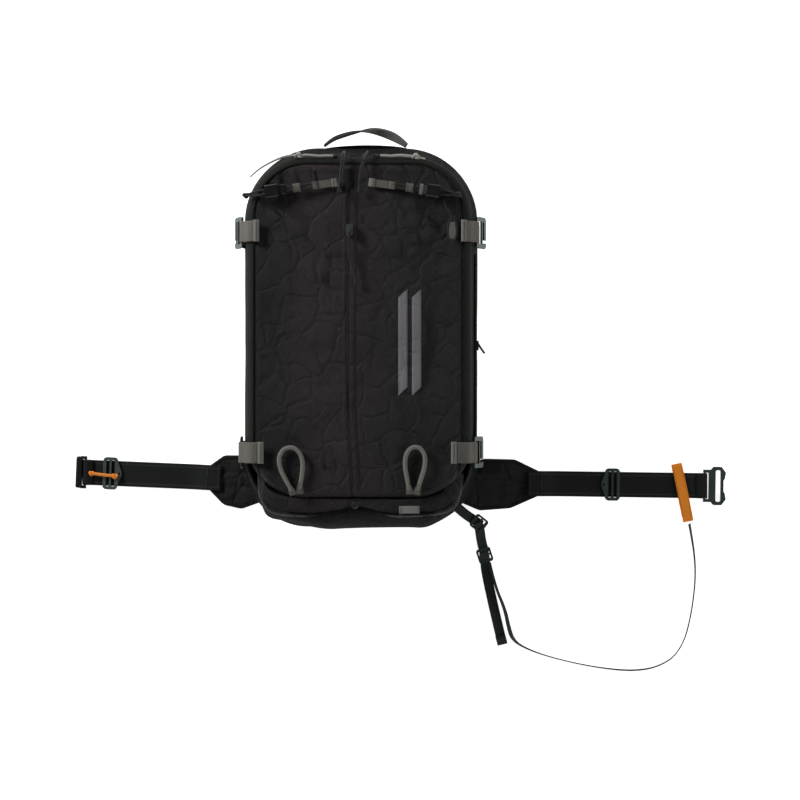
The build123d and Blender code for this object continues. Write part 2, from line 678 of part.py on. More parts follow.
def control_case():
    """Tray for the cells and electronics, with a switch panel along one end."""
    (x0, x1), (y0, y1), (z0, z1) = CASE
    case = round_edges(box(*CASE), 8) - box((x0 + 3, x1 - 40), (y0 + 3, y1 - 3), (z0 + 3, z1 + 1))
    return case - box((x1 - 28, x1 - 12), (y0 + 38, y0 + 64), (z1 - 12, z1 + 1))


def power_cells():
    """Two capacitors and two round batteries, lying side by side."""
    (x0, x1), (y0, _), (z0, _) = CASE
    cells = []
    y = y0 + 4
    for radius, length in ((14.0, 66.0), (14.0, 66.0), (7.2, 50.0), (7.2, 50.0)):
        centre = (x0 + 6 + length / 2, y + radius, z0 + 3.2 + radius)
        cells.append(Pos(*centre) * Rot(0, 90, 0) * Cylinder(radius, length))
        y += 2 * radius + 1.5
    return cells


SWITCH_AXIS = (2.0, 117.0, 68.0)


def power_switch():
    """A rocker, turning about X in the case's panel."""
    x, y, z = SWITCH_AXIS
    rocker = polygon([(-11, 1), (-11, 3.5), (0, 5.4), (11, 3.5), (11, 1), (0, -3)])
    body = Pos(x - 7, y, z) * Rot(0, 90, 0) * Rot(0, 0, 90) * extrude(rocker, 14)
    return body


# ---- Output ----------------------------------------------------------------------------------------

PARTS = {
    "main_compartment": main_compartment,
    "base_panel": base_panel,
    "front_panel": front_panel,
    "front_binding": front_binding,
    "main_zip": main_zip,
    "front_zip": front_zip,
    "front_zip_slider": front_zip_slider,
    "front_zip_pull": lambda: cord(FRONT_PULL, PULL_R),
    "elastic_cords": elastic_cords,
    "side_zip_slider": side_zip_slider,
    "gear_tabs": gear_tabs,
    "compression_straps": compression_straps,
    "strap_anchors": strap_anchors,
    "back_panel": back_panel,
    "lumbar_pad": lumbar_pad,
    "frame_sheet": frame_sheet,
    "harness_webbing": harness_webbing,
    "sternum_socket": sternum_socket,
    "sternum_plug": sternum_plug,
    "trigger_handle": trigger_handle,
    "trigger_cable": trigger_cable,
    "grab_handle": grab_handle,
    "belt_buckle_hook": belt_buckle_hook,
    "belt_buckle_loop": belt_buckle_loop,
    "buckle_lanyard": buckle_lanyard,
    "leg_strap": leg_strap,
    "leg_webbing": leg_webbing,
    "leg_buckle_upper": leg_buckle_upper,
    "leg_buckle_lower": leg_buckle_lower,
    "leg_loop_sleeve": leg_loop_sleeve,
    "folded_airbag": folded_airbag,
    "blower_housing": blower_housing,
    "blower_cover": blower_cover,
    "impeller": impeller,
    "blower_motor": blower_motor,
    "control_case": control_case,
    "power_cells": power_cells,
    "power_switch": power_switch,
}
for side in SIDES:
    PARTS |= {
        f"main_zip_slider_{side}": lambda side=side: main_zip_slider(side),
        f"main_zip_pull_{side}": lambda side=side: cord(TOP_PULLS[side], PULL_R),
        f"tool_loop_{side}": lambda side=side: tool_loop(side),
        f"cord_lock_{side}": lambda side=side: cord_lock(side),
        f"cord_lock_button_{side}": lambda side=side: cord_lock_button(side),
        f"shoulder_strap_{side}": lambda side=side: shoulder_strap(side),
        f"hip_wing_{side}": lambda side=side: hip_wing(side),
        f"belt_webbing_{side}": lambda side=side: belt_webbing(side),
        f"belt_glide_{side}": lambda side=side: belt_glide(side),
    }
    for level in COMPRESSION_Y:
        PARTS[f"compression_hook_{level}_{side}"] = lambda level=level, side=side: compression_hook(level, side)


def solid_group(made):
    """One compound of the separate solids in a piece or a list of pieces."""
    pieces = made if isinstance(made, list) else [made]
    return Compound(children=[solid for piece in pieces for solid in piece.solids()])


if __name__ == "__main__":
    os.makedirs("parts", exist_ok=True)
    for name, make in PARTS.items():
        export_step(solid_group(make()), f"parts/{name}.step")
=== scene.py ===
import math

import bpy
import numpy as np
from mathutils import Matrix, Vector, noise


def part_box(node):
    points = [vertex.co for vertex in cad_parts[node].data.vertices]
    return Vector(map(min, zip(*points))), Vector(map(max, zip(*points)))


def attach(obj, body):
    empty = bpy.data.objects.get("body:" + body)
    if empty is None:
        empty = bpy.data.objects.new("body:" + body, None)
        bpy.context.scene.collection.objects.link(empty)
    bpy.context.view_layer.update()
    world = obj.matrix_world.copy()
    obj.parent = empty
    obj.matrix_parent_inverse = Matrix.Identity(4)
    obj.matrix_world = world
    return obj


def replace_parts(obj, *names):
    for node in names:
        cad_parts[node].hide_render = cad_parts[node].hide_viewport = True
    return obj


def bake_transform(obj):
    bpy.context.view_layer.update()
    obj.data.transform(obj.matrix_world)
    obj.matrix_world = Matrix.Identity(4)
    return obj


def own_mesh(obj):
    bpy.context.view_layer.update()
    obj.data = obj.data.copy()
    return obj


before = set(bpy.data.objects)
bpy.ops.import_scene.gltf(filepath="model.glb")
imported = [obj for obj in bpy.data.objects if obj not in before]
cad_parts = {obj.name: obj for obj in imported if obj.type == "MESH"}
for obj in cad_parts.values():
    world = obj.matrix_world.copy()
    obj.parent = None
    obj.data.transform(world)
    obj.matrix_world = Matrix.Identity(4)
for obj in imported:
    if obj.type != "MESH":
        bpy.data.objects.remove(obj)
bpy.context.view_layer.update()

# The looks of an avalanche airbag backpack that lies on its back. Lengths are in millimetres until a mesh is
# made, and a point is (x, y, z) in the frame's own axes: x to the right, y towards the grab handle, z up.

MM = 0.001


def cad_box(node):
    """Lowest and highest corner of a CAD node, in millimetres."""
    low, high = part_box(node)
    return np.array(low) / MM, np.array(high) / MM


# ---- Driving sizes, from the CAD ----

BAG_LOW, BAG_HIGH = cad_box("main_compartment")
BASE_LOW, BASE_HIGH = cad_box("base_panel")
LID_LOW, LID_HIGH = cad_box("front_binding")
ZIP_LOW, ZIP_HIGH = cad_box("front_zip")
SHELL_LOW, RIM_Z = BAG_LOW[2], BAG_HIGH[2]
FRONT_Z = LID_HIGH[2]
ZIP_X = (ZIP_LOW[0] + ZIP_HIGH[0]) / 2
BINDING = 10.5          # visible width of the bound edge of the lid
LID_EDGE = 22.0         # round of the lid's front edge
SEAM_Y = LID_LOW[1] + 1.5   # where the lid meets the padded lip of the base


# ---- Curves and outlines ----

def smooth(a, b, value):
    """0 below a, 1 above b, and a smooth step between."""
    t = np.clip((np.asarray(value, float) - a) / (b - a), 0, 1)
    return t * t * (3 - 2 * t)


def nurbs_data(name, route, resolution):
    """A curve of one smooth spline whose control points are the route's, in millimetres."""
    data = bpy.data.curves.new(name, "CURVE")
    data.dimensions = "3D"
    data.resolution_u = resolution
    spline = data.splines.new("NURBS")
    spline.points.add(len(route) - 1)
    for point, place in zip(spline.points, route):
        point.co = (*[v * MM for v in place], 1)
    spline.order_u = 3
    spline.use_endpoint_u = True
    return data


def nurbs_line(route):
    """Points along the smooth spline of a route, in millimetres."""
    data = nurbs_data("route", route, 24)
    holder = bpy.data.objects.new("route", data)
    mesh = bpy.data.meshes.new_from_object(holder)
    line = np.array([v.co for v in mesh.vertices]) / MM
    bpy.data.objects.remove(holder)
    bpy.data.curves.remove(data)
    bpy.data.meshes.remove(mesh)
    return line


def arc_lengths(path):
    steps = np.linalg.norm(np.diff(path, axis=0), axis=1)
    return np.concatenate([[0], np.cumsum(steps)])


def even(path, step):
    """The same line with evenly spaced points about one step apart."""
    along = arc_lengths(path)
    count = max(3, int(along[-1] / step) + 1)
    marks = np.linspace(0, along[-1], count)
    return np.stack([np.interp(marks, along, path[:, i]) for i in range(path.shape[1])], axis=1)


def outline(low, high, radii, side_steps=40, arc_steps=22):
    """A rectangle with its own radius at each corner, from bottom left anticlockwise, as points and inward normals."""
    (x0, y0), (x1, y1) = low, high
    centres = [(x0, y0, 1, 1, 180), (x1, y0, -1, 1, 270), (x1, y1, -1, -1, 0), (x0, y1, 1, -1, 90)]
    arcs = []
    for (x, y, sx, sy, start), r in zip(centres, radii):
        turn = np.radians(start + np.linspace(0, 90, arc_steps))
        arcs.append(np.stack([x + sx * r + r * np.cos(turn), y + sy * r + r * np.sin(turn),
                              -np.cos(turn), -np.sin(turn)], axis=1))
    rows = []
    for i, arc in enumerate(arcs):
        following = arcs[(i + 1) % 4]
        share = np.linspace(0, 1, side_steps, endpoint=False)[1:, None]
        rows += [arc, arc[-1] + (following[0] - arc[-1]) * share]
    ring = np.concatenate(rows)
    return ring[:, :2], ring[:, 2:]


def inset_depth(x, y, low, high, radii):
    """How far a point is inside such an outline; negative outside it."""
    (x0, y0), (x1, y1) = low, high
    depth = np.minimum(np.minimum(x - x0, x1 - x), np.minimum(y - y0, y1 - y))
    corners = [(x0, y0, 1, 1), (x1, y0, -1, 1), (x1, y1, -1, -1), (x0, y1, 1, -1)]
    for (cx, cy, sx, sy), r in zip(corners, radii):
        dx = (cx + sx * r - x) * sx
        dy = (cy + sy * r - y) * sy
        inside_corner = (dx > 0) & (dy > 0)
        depth = np.where(inside_corner, r - np.hypot(dx, dy), depth)
    return depth


def cloth_noise(points, size, seed=0.0):
    """Smooth noise from -1 to 1 at points in millimetres, with features about size across."""
    shift = Vector((seed * 7.3, seed * 3.1, seed * 5.7))
    return np.array([noise.noise(Vector(p) / size + shift) for p in np.asarray(points, float)])


# ---- Meshes ----

def mesh_piece(name, points, faces, material, body, uv=None, face_slots=None):
    """A smooth mesh from points in millimetres, which rides on a body. uv is one pair per point."""
    mesh = bpy.data.meshes.new(name)
    mesh.from_pydata([tuple(p) for p in np.asarray(points) * MM], [], faces)
    if uv is not None:
        layer = mesh.uv_layers.new(name="UVMap")
        for loop in mesh.loops:
            layer.data[loop.index].uv = uv[loop.vertex_index]
    materials = material if isinstance(material, list) else [material]
    for item in materials:
        mesh.materials.append(item)
    if face_slots is not None:
        mesh.polygons.foreach_set("material_index", face_slots)
    mesh.shade_smooth()
    piece = bpy.data.objects.new(name, mesh)
    bpy.context.scene.collection.objects.link(piece)
    if body:
        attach(piece, body)
    return piece


def grid_faces(rows, columns, close_columns=False):
    """Quads of a grid whose points run column by column within each row."""
    faces = []
    last = columns if close_columns else columns - 1
    for i in range(rows - 1):
        for j in range(last):
            k = (j + 1) % columns
            faces.append((i * columns + j, i * columns + k, (i + 1) * columns + k, (i + 1) * columns + j))
    return faces


def thicken(piece, amount, outward=False):
    """Gives a sheet of cloth its thickness, in millimetres."""
    modifier = piece.modifiers.new("thickness", "SOLIDIFY")
    modifier.thickness = amount * MM
    modifier.offset = 1 if outward else -1
    modifier.use_even_offset = False
    return piece


def frames_along(path, ups):
    """Unit tangent, across and face directions at each point of a path."""
    tangent = np.gradient(path, axis=0)
    tangent /= np.linalg.norm(tangent, axis=1)[:, None]
    across = np.cross(ups, tangent)
    across /= np.linalg.norm(across, axis=1)[:, None]
    return tangent, across, np.cross(tangent, across)


WEB_SECTION = [(-1, 0.0), (-0.985, 0.42), (-0.9, 0.56), (-0.8, 0.5), (-0.4, 0.5), (0, 0.5), (0.4, 0.5), (0.8, 0.5),
               (0.9, 0.56), (0.985, 0.42), (1, 0.0), (0.985, -0.42), (0.9, -0.56), (0.8, -0.5), (0.4, -0.5),
               (0, -0.5), (-0.4, -0.5), (-0.8, -0.5), (-0.9, -0.56), (-0.985, -0.42)]


def webbing(name, route, ups, width, thick, material, body, back=None, step=2.5, widths=None, rounded=False):
    """A woven strap along a smooth route. ups gives the way its face points at each control point. With a back
    material, the strap's other face has it. widths scales the width at each control point."""
    scale = [(1, 0, 0)] * len(route) if widths is None else [(w, 0, 0) for w in widths]
    joined = [nurbs_line(route), nurbs_line(ups), nurbs_line(scale)[:, :1]]
    line = even(np.concatenate(joined, axis=1), step)
    path, facing, scale = line[:, :3], line[:, 3:6], line[:, 6]
    _, across, face = frames_along(path, facing)
    along = arc_lengths(path)
    points, uv = [], []
    section = WEB_SECTION if not rounded else tube_section(20)
    for i, place in enumerate(path):
        for a, b in section:
            points.append(place + across[i] * a * width / 2 * scale[i] + face[i] * b * thick)
            uv.append((along[i], a * width / 2 if b >= 0 else a * width / 2 + 2 * width))
    n = len(section)
    faces = grid_faces(len(path), n, close_columns=True)
    slots = [1 if back and (k % n) in range(n // 2, n) else 0 for k in range(len(faces))]
    ends = [tuple(range(n))[::-1], tuple((len(path) - 1) * n + k for k in range(n))]
    materials = [material, back] if back else [material]
    piece = mesh_piece(name, points, faces + ends, materials, body, uv, slots + [0, 0])
    piece["centre_line"] = [float(v) for v in (path * MM).ravel()]
    return piece


def tube_section(count):
    turn = np.linspace(math.pi, -math.pi, count, endpoint=False)
    return [(math.cos(t), math.sin(t) * 0.5) for t in turn]


def cord_curve(name, route, radius, material, body):
    """A round cord: one smooth spline with the route's points as its control points."""
    data = nurbs_data(name, route, 12)
    data.bevel_depth = radius * MM
    data.bevel_resolution = 4
    data.use_fill_caps = True
    data.materials.append(material)
    piece = bpy.data.objects.new(name, data)
    bpy.context.scene.collection.objects.link(piece)
    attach(piece, body)
    return piece


def tube_mesh(name, route, radius, material, body, radii=None, sides=14, step=1.5):
    """A round tube along a smooth route; radii scales it at each control point."""
    scale = [(1, 0, 0)] * len(route) if radii is None else [(r, 0, 0) for r in radii]
    line = even(np.concatenate([nurbs_line(route), nurbs_line(scale)[:, :1]], axis=1), step)
    path = line[:, :3]
    up = np.array([0, 0, 1.0]) + path * 0
    tangent = np.gradient(path, axis=0)
    steep = np.abs(tangent[:, 2]) > 0.9 * np.linalg.norm(tangent, axis=1)
    up[steep] = (0, 1, 0)
    _, across, face = frames_along(path, up)
    along = arc_lengths(path)
    points, uv = [], []
    for i, place in enumerate(path):
        for k in range(sides):
            turn = 2 * math.pi * k / sides
            offset = across[i] * math.cos(turn) + face[i] * math.sin(turn)
            points.append(place + offset * radius * line[i, 3])
            uv.append((along[i], turn * radius))
    faces = grid_faces(len(path), sides, close_columns=True)
    ends = [tuple(range(sides))[::-1], tuple((len(path) - 1) * sides + k for k in range(sides))]
    piece = mesh_piece(name, points, faces + ends, material, body, uv)
    piece["centre_line"] = [float(v) for v in (path * MM).ravel()]
    return piece


def knot(name, place, along, size, cord_radius, material, body):
    """A small overhand knot: a trefoil of the cord, pulled flat along one direction."""
    d = Vector(along).normalized()
    side = d.cross(Vector((0, 0, 1))).normalized()
    up = side.cross(d)
    route = []
    for k in range(25):
        t = 2 * math.pi * k / 24
        a = math.sin(t) + 2 * math.sin(2 * t)
        b = math.cos(t) - 2 * math.cos(2 * t)
        c = -math.sin(3 * t)
        route.append(Vector(place) + (d * a * 0.42 + side * b * 0.3 + up * c * 0.4) * size)
    return tube_mesh(name, [tuple(p) for p in route], cord_radius, material, body, step=0.8, sides=10)


def stitches(name, path, normals, material, body, length=3.0, gap=1.6, radius=0.35):
    """A row of thread stitches along a path, each a small capsule standing just out of the cloth."""
    path = np.asarray(path, float)
    along = arc_lengths(path)
    starts = np.arange(0, along[-1] - length, length + gap)
    points, faces = [], []
    for start in starts:
        marks = start + np.array([0, 0.12, 0.5, 0.88, 1]) * length
        centre = np.stack([np.interp(marks, along, path[:, i]) for i in range(3)], axis=1)
        face = np.stack([np.interp(marks, along, normals[:, i]) for i in range(3)], axis=1)
        tangent = centre[-1] - centre[0]
        tangent /= np.linalg.norm(tangent)
        across = np.cross(face, tangent)
        across /= np.linalg.norm(across, axis=1)[:, None]
        base = len(points)
        for i, size in enumerate((0.25, 0.8, 1.0, 0.8, 0.25)):
            lift = centre[i] + face[i] * radius * (0.6 * size - 0.25)
            for k in range(6):
                turn = math.pi * k / 3
                points.append(lift + (across[i] * math.cos(turn) + face[i] * math.sin(turn)) * radius * size)
        faces += [tuple(base + v for v in quad) for quad in grid_faces(5, 6, close_columns=True)]
        faces += [tuple(base + k for k in range(6))[::-1], tuple(base + 24 + k for k in range(6))]
    return mesh_piece(name, points, faces, material, body)


# ---- Materials ----

class Nodes:
    """Short names for building one material's node tree."""

    def __init__(self, name):
        self.material = bpy.data.materials.new(name)
        self.material.use_nodes = True
        self.tree = self.material.node_tree
        self.shader = self.tree.nodes["Principled BSDF"]

    def new(self, kind, settings=None, **inputs):
        node = self.tree.nodes.new(kind)
        for key, value in (settings or {}).items():
            setattr(node, key, value)
        for key, value in inputs.items():
            self.put(node.inputs[key.replace("_", " ")], value)
        return node

    def put(self, socket, value):
        if isinstance(value, bpy.types.NodeSocket):
            self.tree.links.new(value, socket)
        else:
            socket.default_value = value

    def math(self, operation, a, b=0.0):
        node = self.tree.nodes.new("ShaderNodeMath")
        node.operation = operation
        self.put(node.inputs[0], a)
        self.put(node.inputs[1], b)
        return node.outputs[0]

    def mix(self, share, a, b):
        node = self.tree.nodes.new("ShaderNodeMix")
        node.data_type = "RGBA"
        self.put(node.inputs[0], share)
        self.put(node.inputs[6], a)
        self.put(node.inputs[7], b)
        return node.outputs[2]

    def ramp(self, value, low, high):
        node = self.new("ShaderNodeMapRange", Value=value)
        node.inputs["From Min"].default_value = low
        node.inputs["From Max"].default_value = high
        return node.outputs[0]

    def noise(self, vector, scale, detail=3.0):
        return self.new("ShaderNodeTexNoise", Vector=vector, Scale=scale, Detail=detail).outputs[0]

    def object_xyz(self):
        coordinates = self.new("ShaderNodeTexCoord").outputs["Object"]
        return coordinates, self.new("ShaderNodeSeparateXYZ", Vector=coordinates).outputs

    def bump(self, height, strength, distance):
        node = self.new("ShaderNodeBump", Height=height, Strength=strength, Distance=distance)
        self.tree.links.new(node.outputs[0], self.shader.inputs["Normal"])

    def finish(self, colour, roughness, **more):
        self.put(self.shader.inputs["Base Color"], colour)
        self.put(self.shader.inputs["Roughness"], roughness)
        for key, value in more.items():
            self.put(self.shader.inputs[key.replace("_", " ")], value)
        return self.material


def rgb(r, g, b):
    """A colour given as the eye sees it, 0 to 255, in linear light."""
    return tuple((v / 255 / 12.92) if v <= 10 else ((v / 255 + 0.055) / 1.055) ** 2.4 for v in (r, g, b)) + (1.0,)


def ripstop(name, colour, tint, grid_mm, grid_strength, diamond=True, rough=0.42, left_tint_and_painted_light=0.0, shine=0.2):
    """Woven pack cloth: fine yarns, a stronger grid of rip-stop yarns and faint cloudy soiling. With the left tint set,
    also a lighter violet patch left of the middle, partly the cloth's tint and partly painted light, and painted shade
    towards both sides.
    """
    n = Nodes(name)
    where, axis = n.object_xyz()
    x, y, z = axis[0], axis[1], axis[2]
    pitch = grid_mm * MM
    along = n.math("ADD", x, n.math("MULTIPLY", y, 0.62)) if diamond else x
    other = n.math("SUBTRACT", x, n.math("MULTIPLY", y, 0.62)) if diamond else n.math("ADD", y, z)
    lines = []
    for value in (along, other):
        turn = n.math("MULTIPLY", value, 2 * math.pi / pitch)
        wave = n.math("ABSOLUTE", n.math("SINE", n.math("MULTIPLY", turn, 0.5)))
        lines.append(n.math("SUBTRACT", 1.0, n.ramp(wave, 0.0, 0.16)))
    grid = n.math("MAXIMUM", lines[0], lines[1])
    yarn_a = n.math("SINE", n.math("MULTIPLY", n.math("ADD", x, n.math("MULTIPLY", z, 0.7)), 2 * math.pi / 0.0011))
    yarn_b = n.math("SINE", n.math("MULTIPLY", n.math("ADD", y, n.math("MULTIPLY", z, 0.7)), 2 * math.pi / 0.0011))
    weave = n.math("MULTIPLY", yarn_a, yarn_b)
    cloud = n.noise(where, 9.0, 4.0)
    speck = n.noise(where, 420.0, 2.0)
    base = n.mix(n.ramp(cloud, 0.3, 0.7), colour, tint)
    # Painted light and shade: left of the middle a patch turns lighter and violet, partly the cloth's own tint and
    # partly painted light where the raised centre faces the light; both sides darken as painted shade where the panel
    # slopes away.
    if left_tint_and_painted_light:
        left = n.math("MULTIPLY", n.ramp(x, -0.115, -0.07), n.ramp(x, 0.06, -0.02))
        tinted_lit_patch = n.math("MULTIPLY", left, n.ramp(n.noise(where, 14.0, 2.0), 0.25, 0.6))
        base = n.mix(n.math("MULTIPLY", tinted_lit_patch, left_tint_and_painted_light), base, rgb(44, 35, 38))
        dark = n.ramp(n.math("ABSOLUTE", n.math("ADD", x, 0.004)), 0.07, 0.125)
        base = n.mix(n.math("MULTIPLY", dark, 0.55), base, rgb(20, 19, 20))
    base = n.mix(n.math("MULTIPLY", grid, grid_strength), base, rgb(62, 58, 58))
    base = n.mix(n.math("MULTIPLY", n.ramp(speck, 0.62, 0.8), 0.22), base, rgb(92, 88, 86))
    height = n.math("ADD", n.math("MULTIPLY", weave, 0.10), n.math("MULTIPLY", grid, 0.22))
    height = n.math("ADD", height, n.math("MULTIPLY", n.noise(where, 60.0, 3.0), 0.9))
    bent = n.new("ShaderNodeVectorMath", {"operation": "ADD"}).outputs[0]
    wobble = n.new("ShaderNodeTexNoise", Vector=where, Scale=22.0, Detail=2.0).outputs[1]
    small = n.new("ShaderNodeVectorMath", {"operation": "SCALE"})
    n.put(small.inputs[0], wobble)
    small.inputs["Scale"].default_value = 0.03
    n.put(bent.node.inputs[0], where)
    n.put(bent.node.inputs[1], small.outputs[0])
    cells = n.new("ShaderNodeTexVoronoi", {"feature": "DISTANCE_TO_EDGE"}, Vector=bent, Scale=26.0)
    fine = n.ramp(cells.outputs["Distance"], 0.0, 0.09)
    height = n.math("ADD", height, n.math("MULTIPLY", fine, 0.8))
    n.bump(height, 0.9, 0.0016)
    return n.finish(base, n.math("ADD", rough, n.math("MULTIPLY", cloud, 0.2)), Specular_IOR_Level=shine)


def woven(name, colour, light, pitch_mm=2.0, rib=0.75, stripe=None, stripe_from=0.0, stripe_to=0.0):
    """Strap webbing: a herringbone of ribs that follow the strap, from the strap's own uv in millimetres."""
    n = Nodes(name)
    uv = n.new("ShaderNodeUVMap", {"uv_map": "UVMap"}).outputs[0]
    axis = n.new("ShaderNodeSeparateXYZ", Vector=uv).outputs
    along, across = axis[0], axis[1]
    fold = n.math("PINGPONG", across, pitch_mm * 1.5)
    chevron = n.math("ADD", along, n.math("MULTIPLY", fold, 1.0))
    ribs = n.math("SINE", n.math("MULTIPLY", chevron, 2 * math.pi / pitch_mm))
    cords = n.math("SINE", n.math("MULTIPLY", across, 2 * math.pi / (pitch_mm * 0.62)))
    height = n.math("ADD", n.math("MULTIPLY", ribs, rib), n.math("MULTIPLY", cords, 0.45))
    where, _ = n.object_xyz()
    cloud = n.noise(where, 25.0, 3.0)
    # Painted light and shade: the raised ribs take the lighter colour and the grooves the darker one; the cloudy
    # patches after it are the strap's own tone.
    base = n.mix(n.ramp(height, -1.1, 1.1), colour, light)
    base = n.mix(n.math("MULTIPLY", n.ramp(cloud, 0.4, 0.75), 0.25), base, colour)
    if stripe:
        away = n.math("ABSOLUTE", across)
        band = n.math("MULTIPLY", n.math("GREATER_THAN", away, stripe_from), n.math("LESS_THAN", away, stripe_to))
        base = n.mix(n.math("MULTIPLY", band, 0.85), base, stripe)
    n.bump(height, 0.6, 0.00035)
    return n.finish(base, 0.82, Specular_IOR_Level=0.1)


def braid(name, colour, light, pitch_mm=2.2):
    """Braided cord: crossing strands that wind round it."""
    n = Nodes(name)
    where, axis = n.object_xyz()
    turn_a = n.math("SINE", n.math("MULTIPLY", n.math("ADD", axis[0], axis[1]), 2 * math.pi / (pitch_mm * MM)))
    turn_b = n.math("SINE", n.math("MULTIPLY", n.math("SUBTRACT", axis[1], axis[0]), 2 * math.pi / (pitch_mm * MM)))
    height = n.math("MAXIMUM", turn_a, turn_b)
    fuzz = n.noise(where, 900.0, 2.0)
    n.bump(n.math("ADD", height, fuzz), 0.6, 0.0003)
    # Painted light and shade: the raised strands take the lighter colour and the hollows between them the darker one.
    return n.finish(n.mix(n.ramp(height, -0.3, 1.0), colour, light), 0.7, Specular_IOR_Level=0.3)


def moulded(name, colour, rough=0.38, grain=900.0, wear=0.12, metal=0.0, light=None):
    """Moulded plastic or coated metal with a fine grain and lightly rubbed high spots."""
    n = Nodes(name)
    where, _ = n.object_xyz()
    grit = n.noise(where, grain, 2.0)
    cloud = n.noise(where, 60.0, 3.0)
    base = n.mix(n.math("MULTIPLY", n.ramp(cloud, 0.45, 0.75), wear), colour, light or rgb(150, 150, 150))
    roughness = n.math("ADD", rough, n.math("MULTIPLY", n.ramp(cloud, 0.3, 0.7), 0.12))
    n.bump(grit, 0.18, 0.0004)
    return n.finish(base, roughness, Metallic=metal)


def brushed(name, colour, rough, stretch):
    n = Nodes(name)
    where, _ = n.object_xyz()
    scaled = n.new("ShaderNodeMapping", Vector=where)
    scaled.inputs["Scale"].default_value = stretch
    grain = n.noise(scaled.outputs[0], 300.0, 4.0)
    n.bump(grain, 0.15, 0.0003)
    cloud = n.noise(where, 40.0, 2.0)
    base = n.mix(n.math("MULTIPLY", n.ramp(cloud, 0.4, 0.8), 0.3), colour, rgb(40, 42, 44))
    return n.finish(base, n.math("ADD", rough, n.math("MULTIPLY", grain, 0.15)), Metallic=1.0)


def air_mesh(name, colour, hole_shade, hole_mm=3.0):
    """Padded mesh cloth: rows of small round holes in a soft knit, with painted shade in the holes."""
    n = Nodes(name)
    where, _ = n.object_xyz()
    cells = n.new("ShaderNodeTexVoronoi", {"feature": "F1"}, Vector=where, Scale=1000.0 / hole_mm, Randomness=0.25)
    hole = n.ramp(cells.outputs["Distance"], 0.5, 0.22)
    fuzz = n.noise(where, 700.0, 2.0)
    n.bump(n.math("SUBTRACT", fuzz, n.math("MULTIPLY", hole, 1.6)), 0.7, 0.0008)
    # The holes take the darker colour: painted shade in the recesses.
    return n.finish(n.mix(hole, colour, hole_shade), 0.85, Sheen_Weight=0.2)


def thread(name, colour):
    n = Nodes(name)
    where, _ = n.object_xyz()
    twist = n.noise(where, 1500.0, 1.0)
    n.bump(twist, 0.5, 0.0002)
    return n.finish(n.mix(n.ramp(twist, 0.3, 0.7), colour, rgb(20, 20, 20)), 0.6)


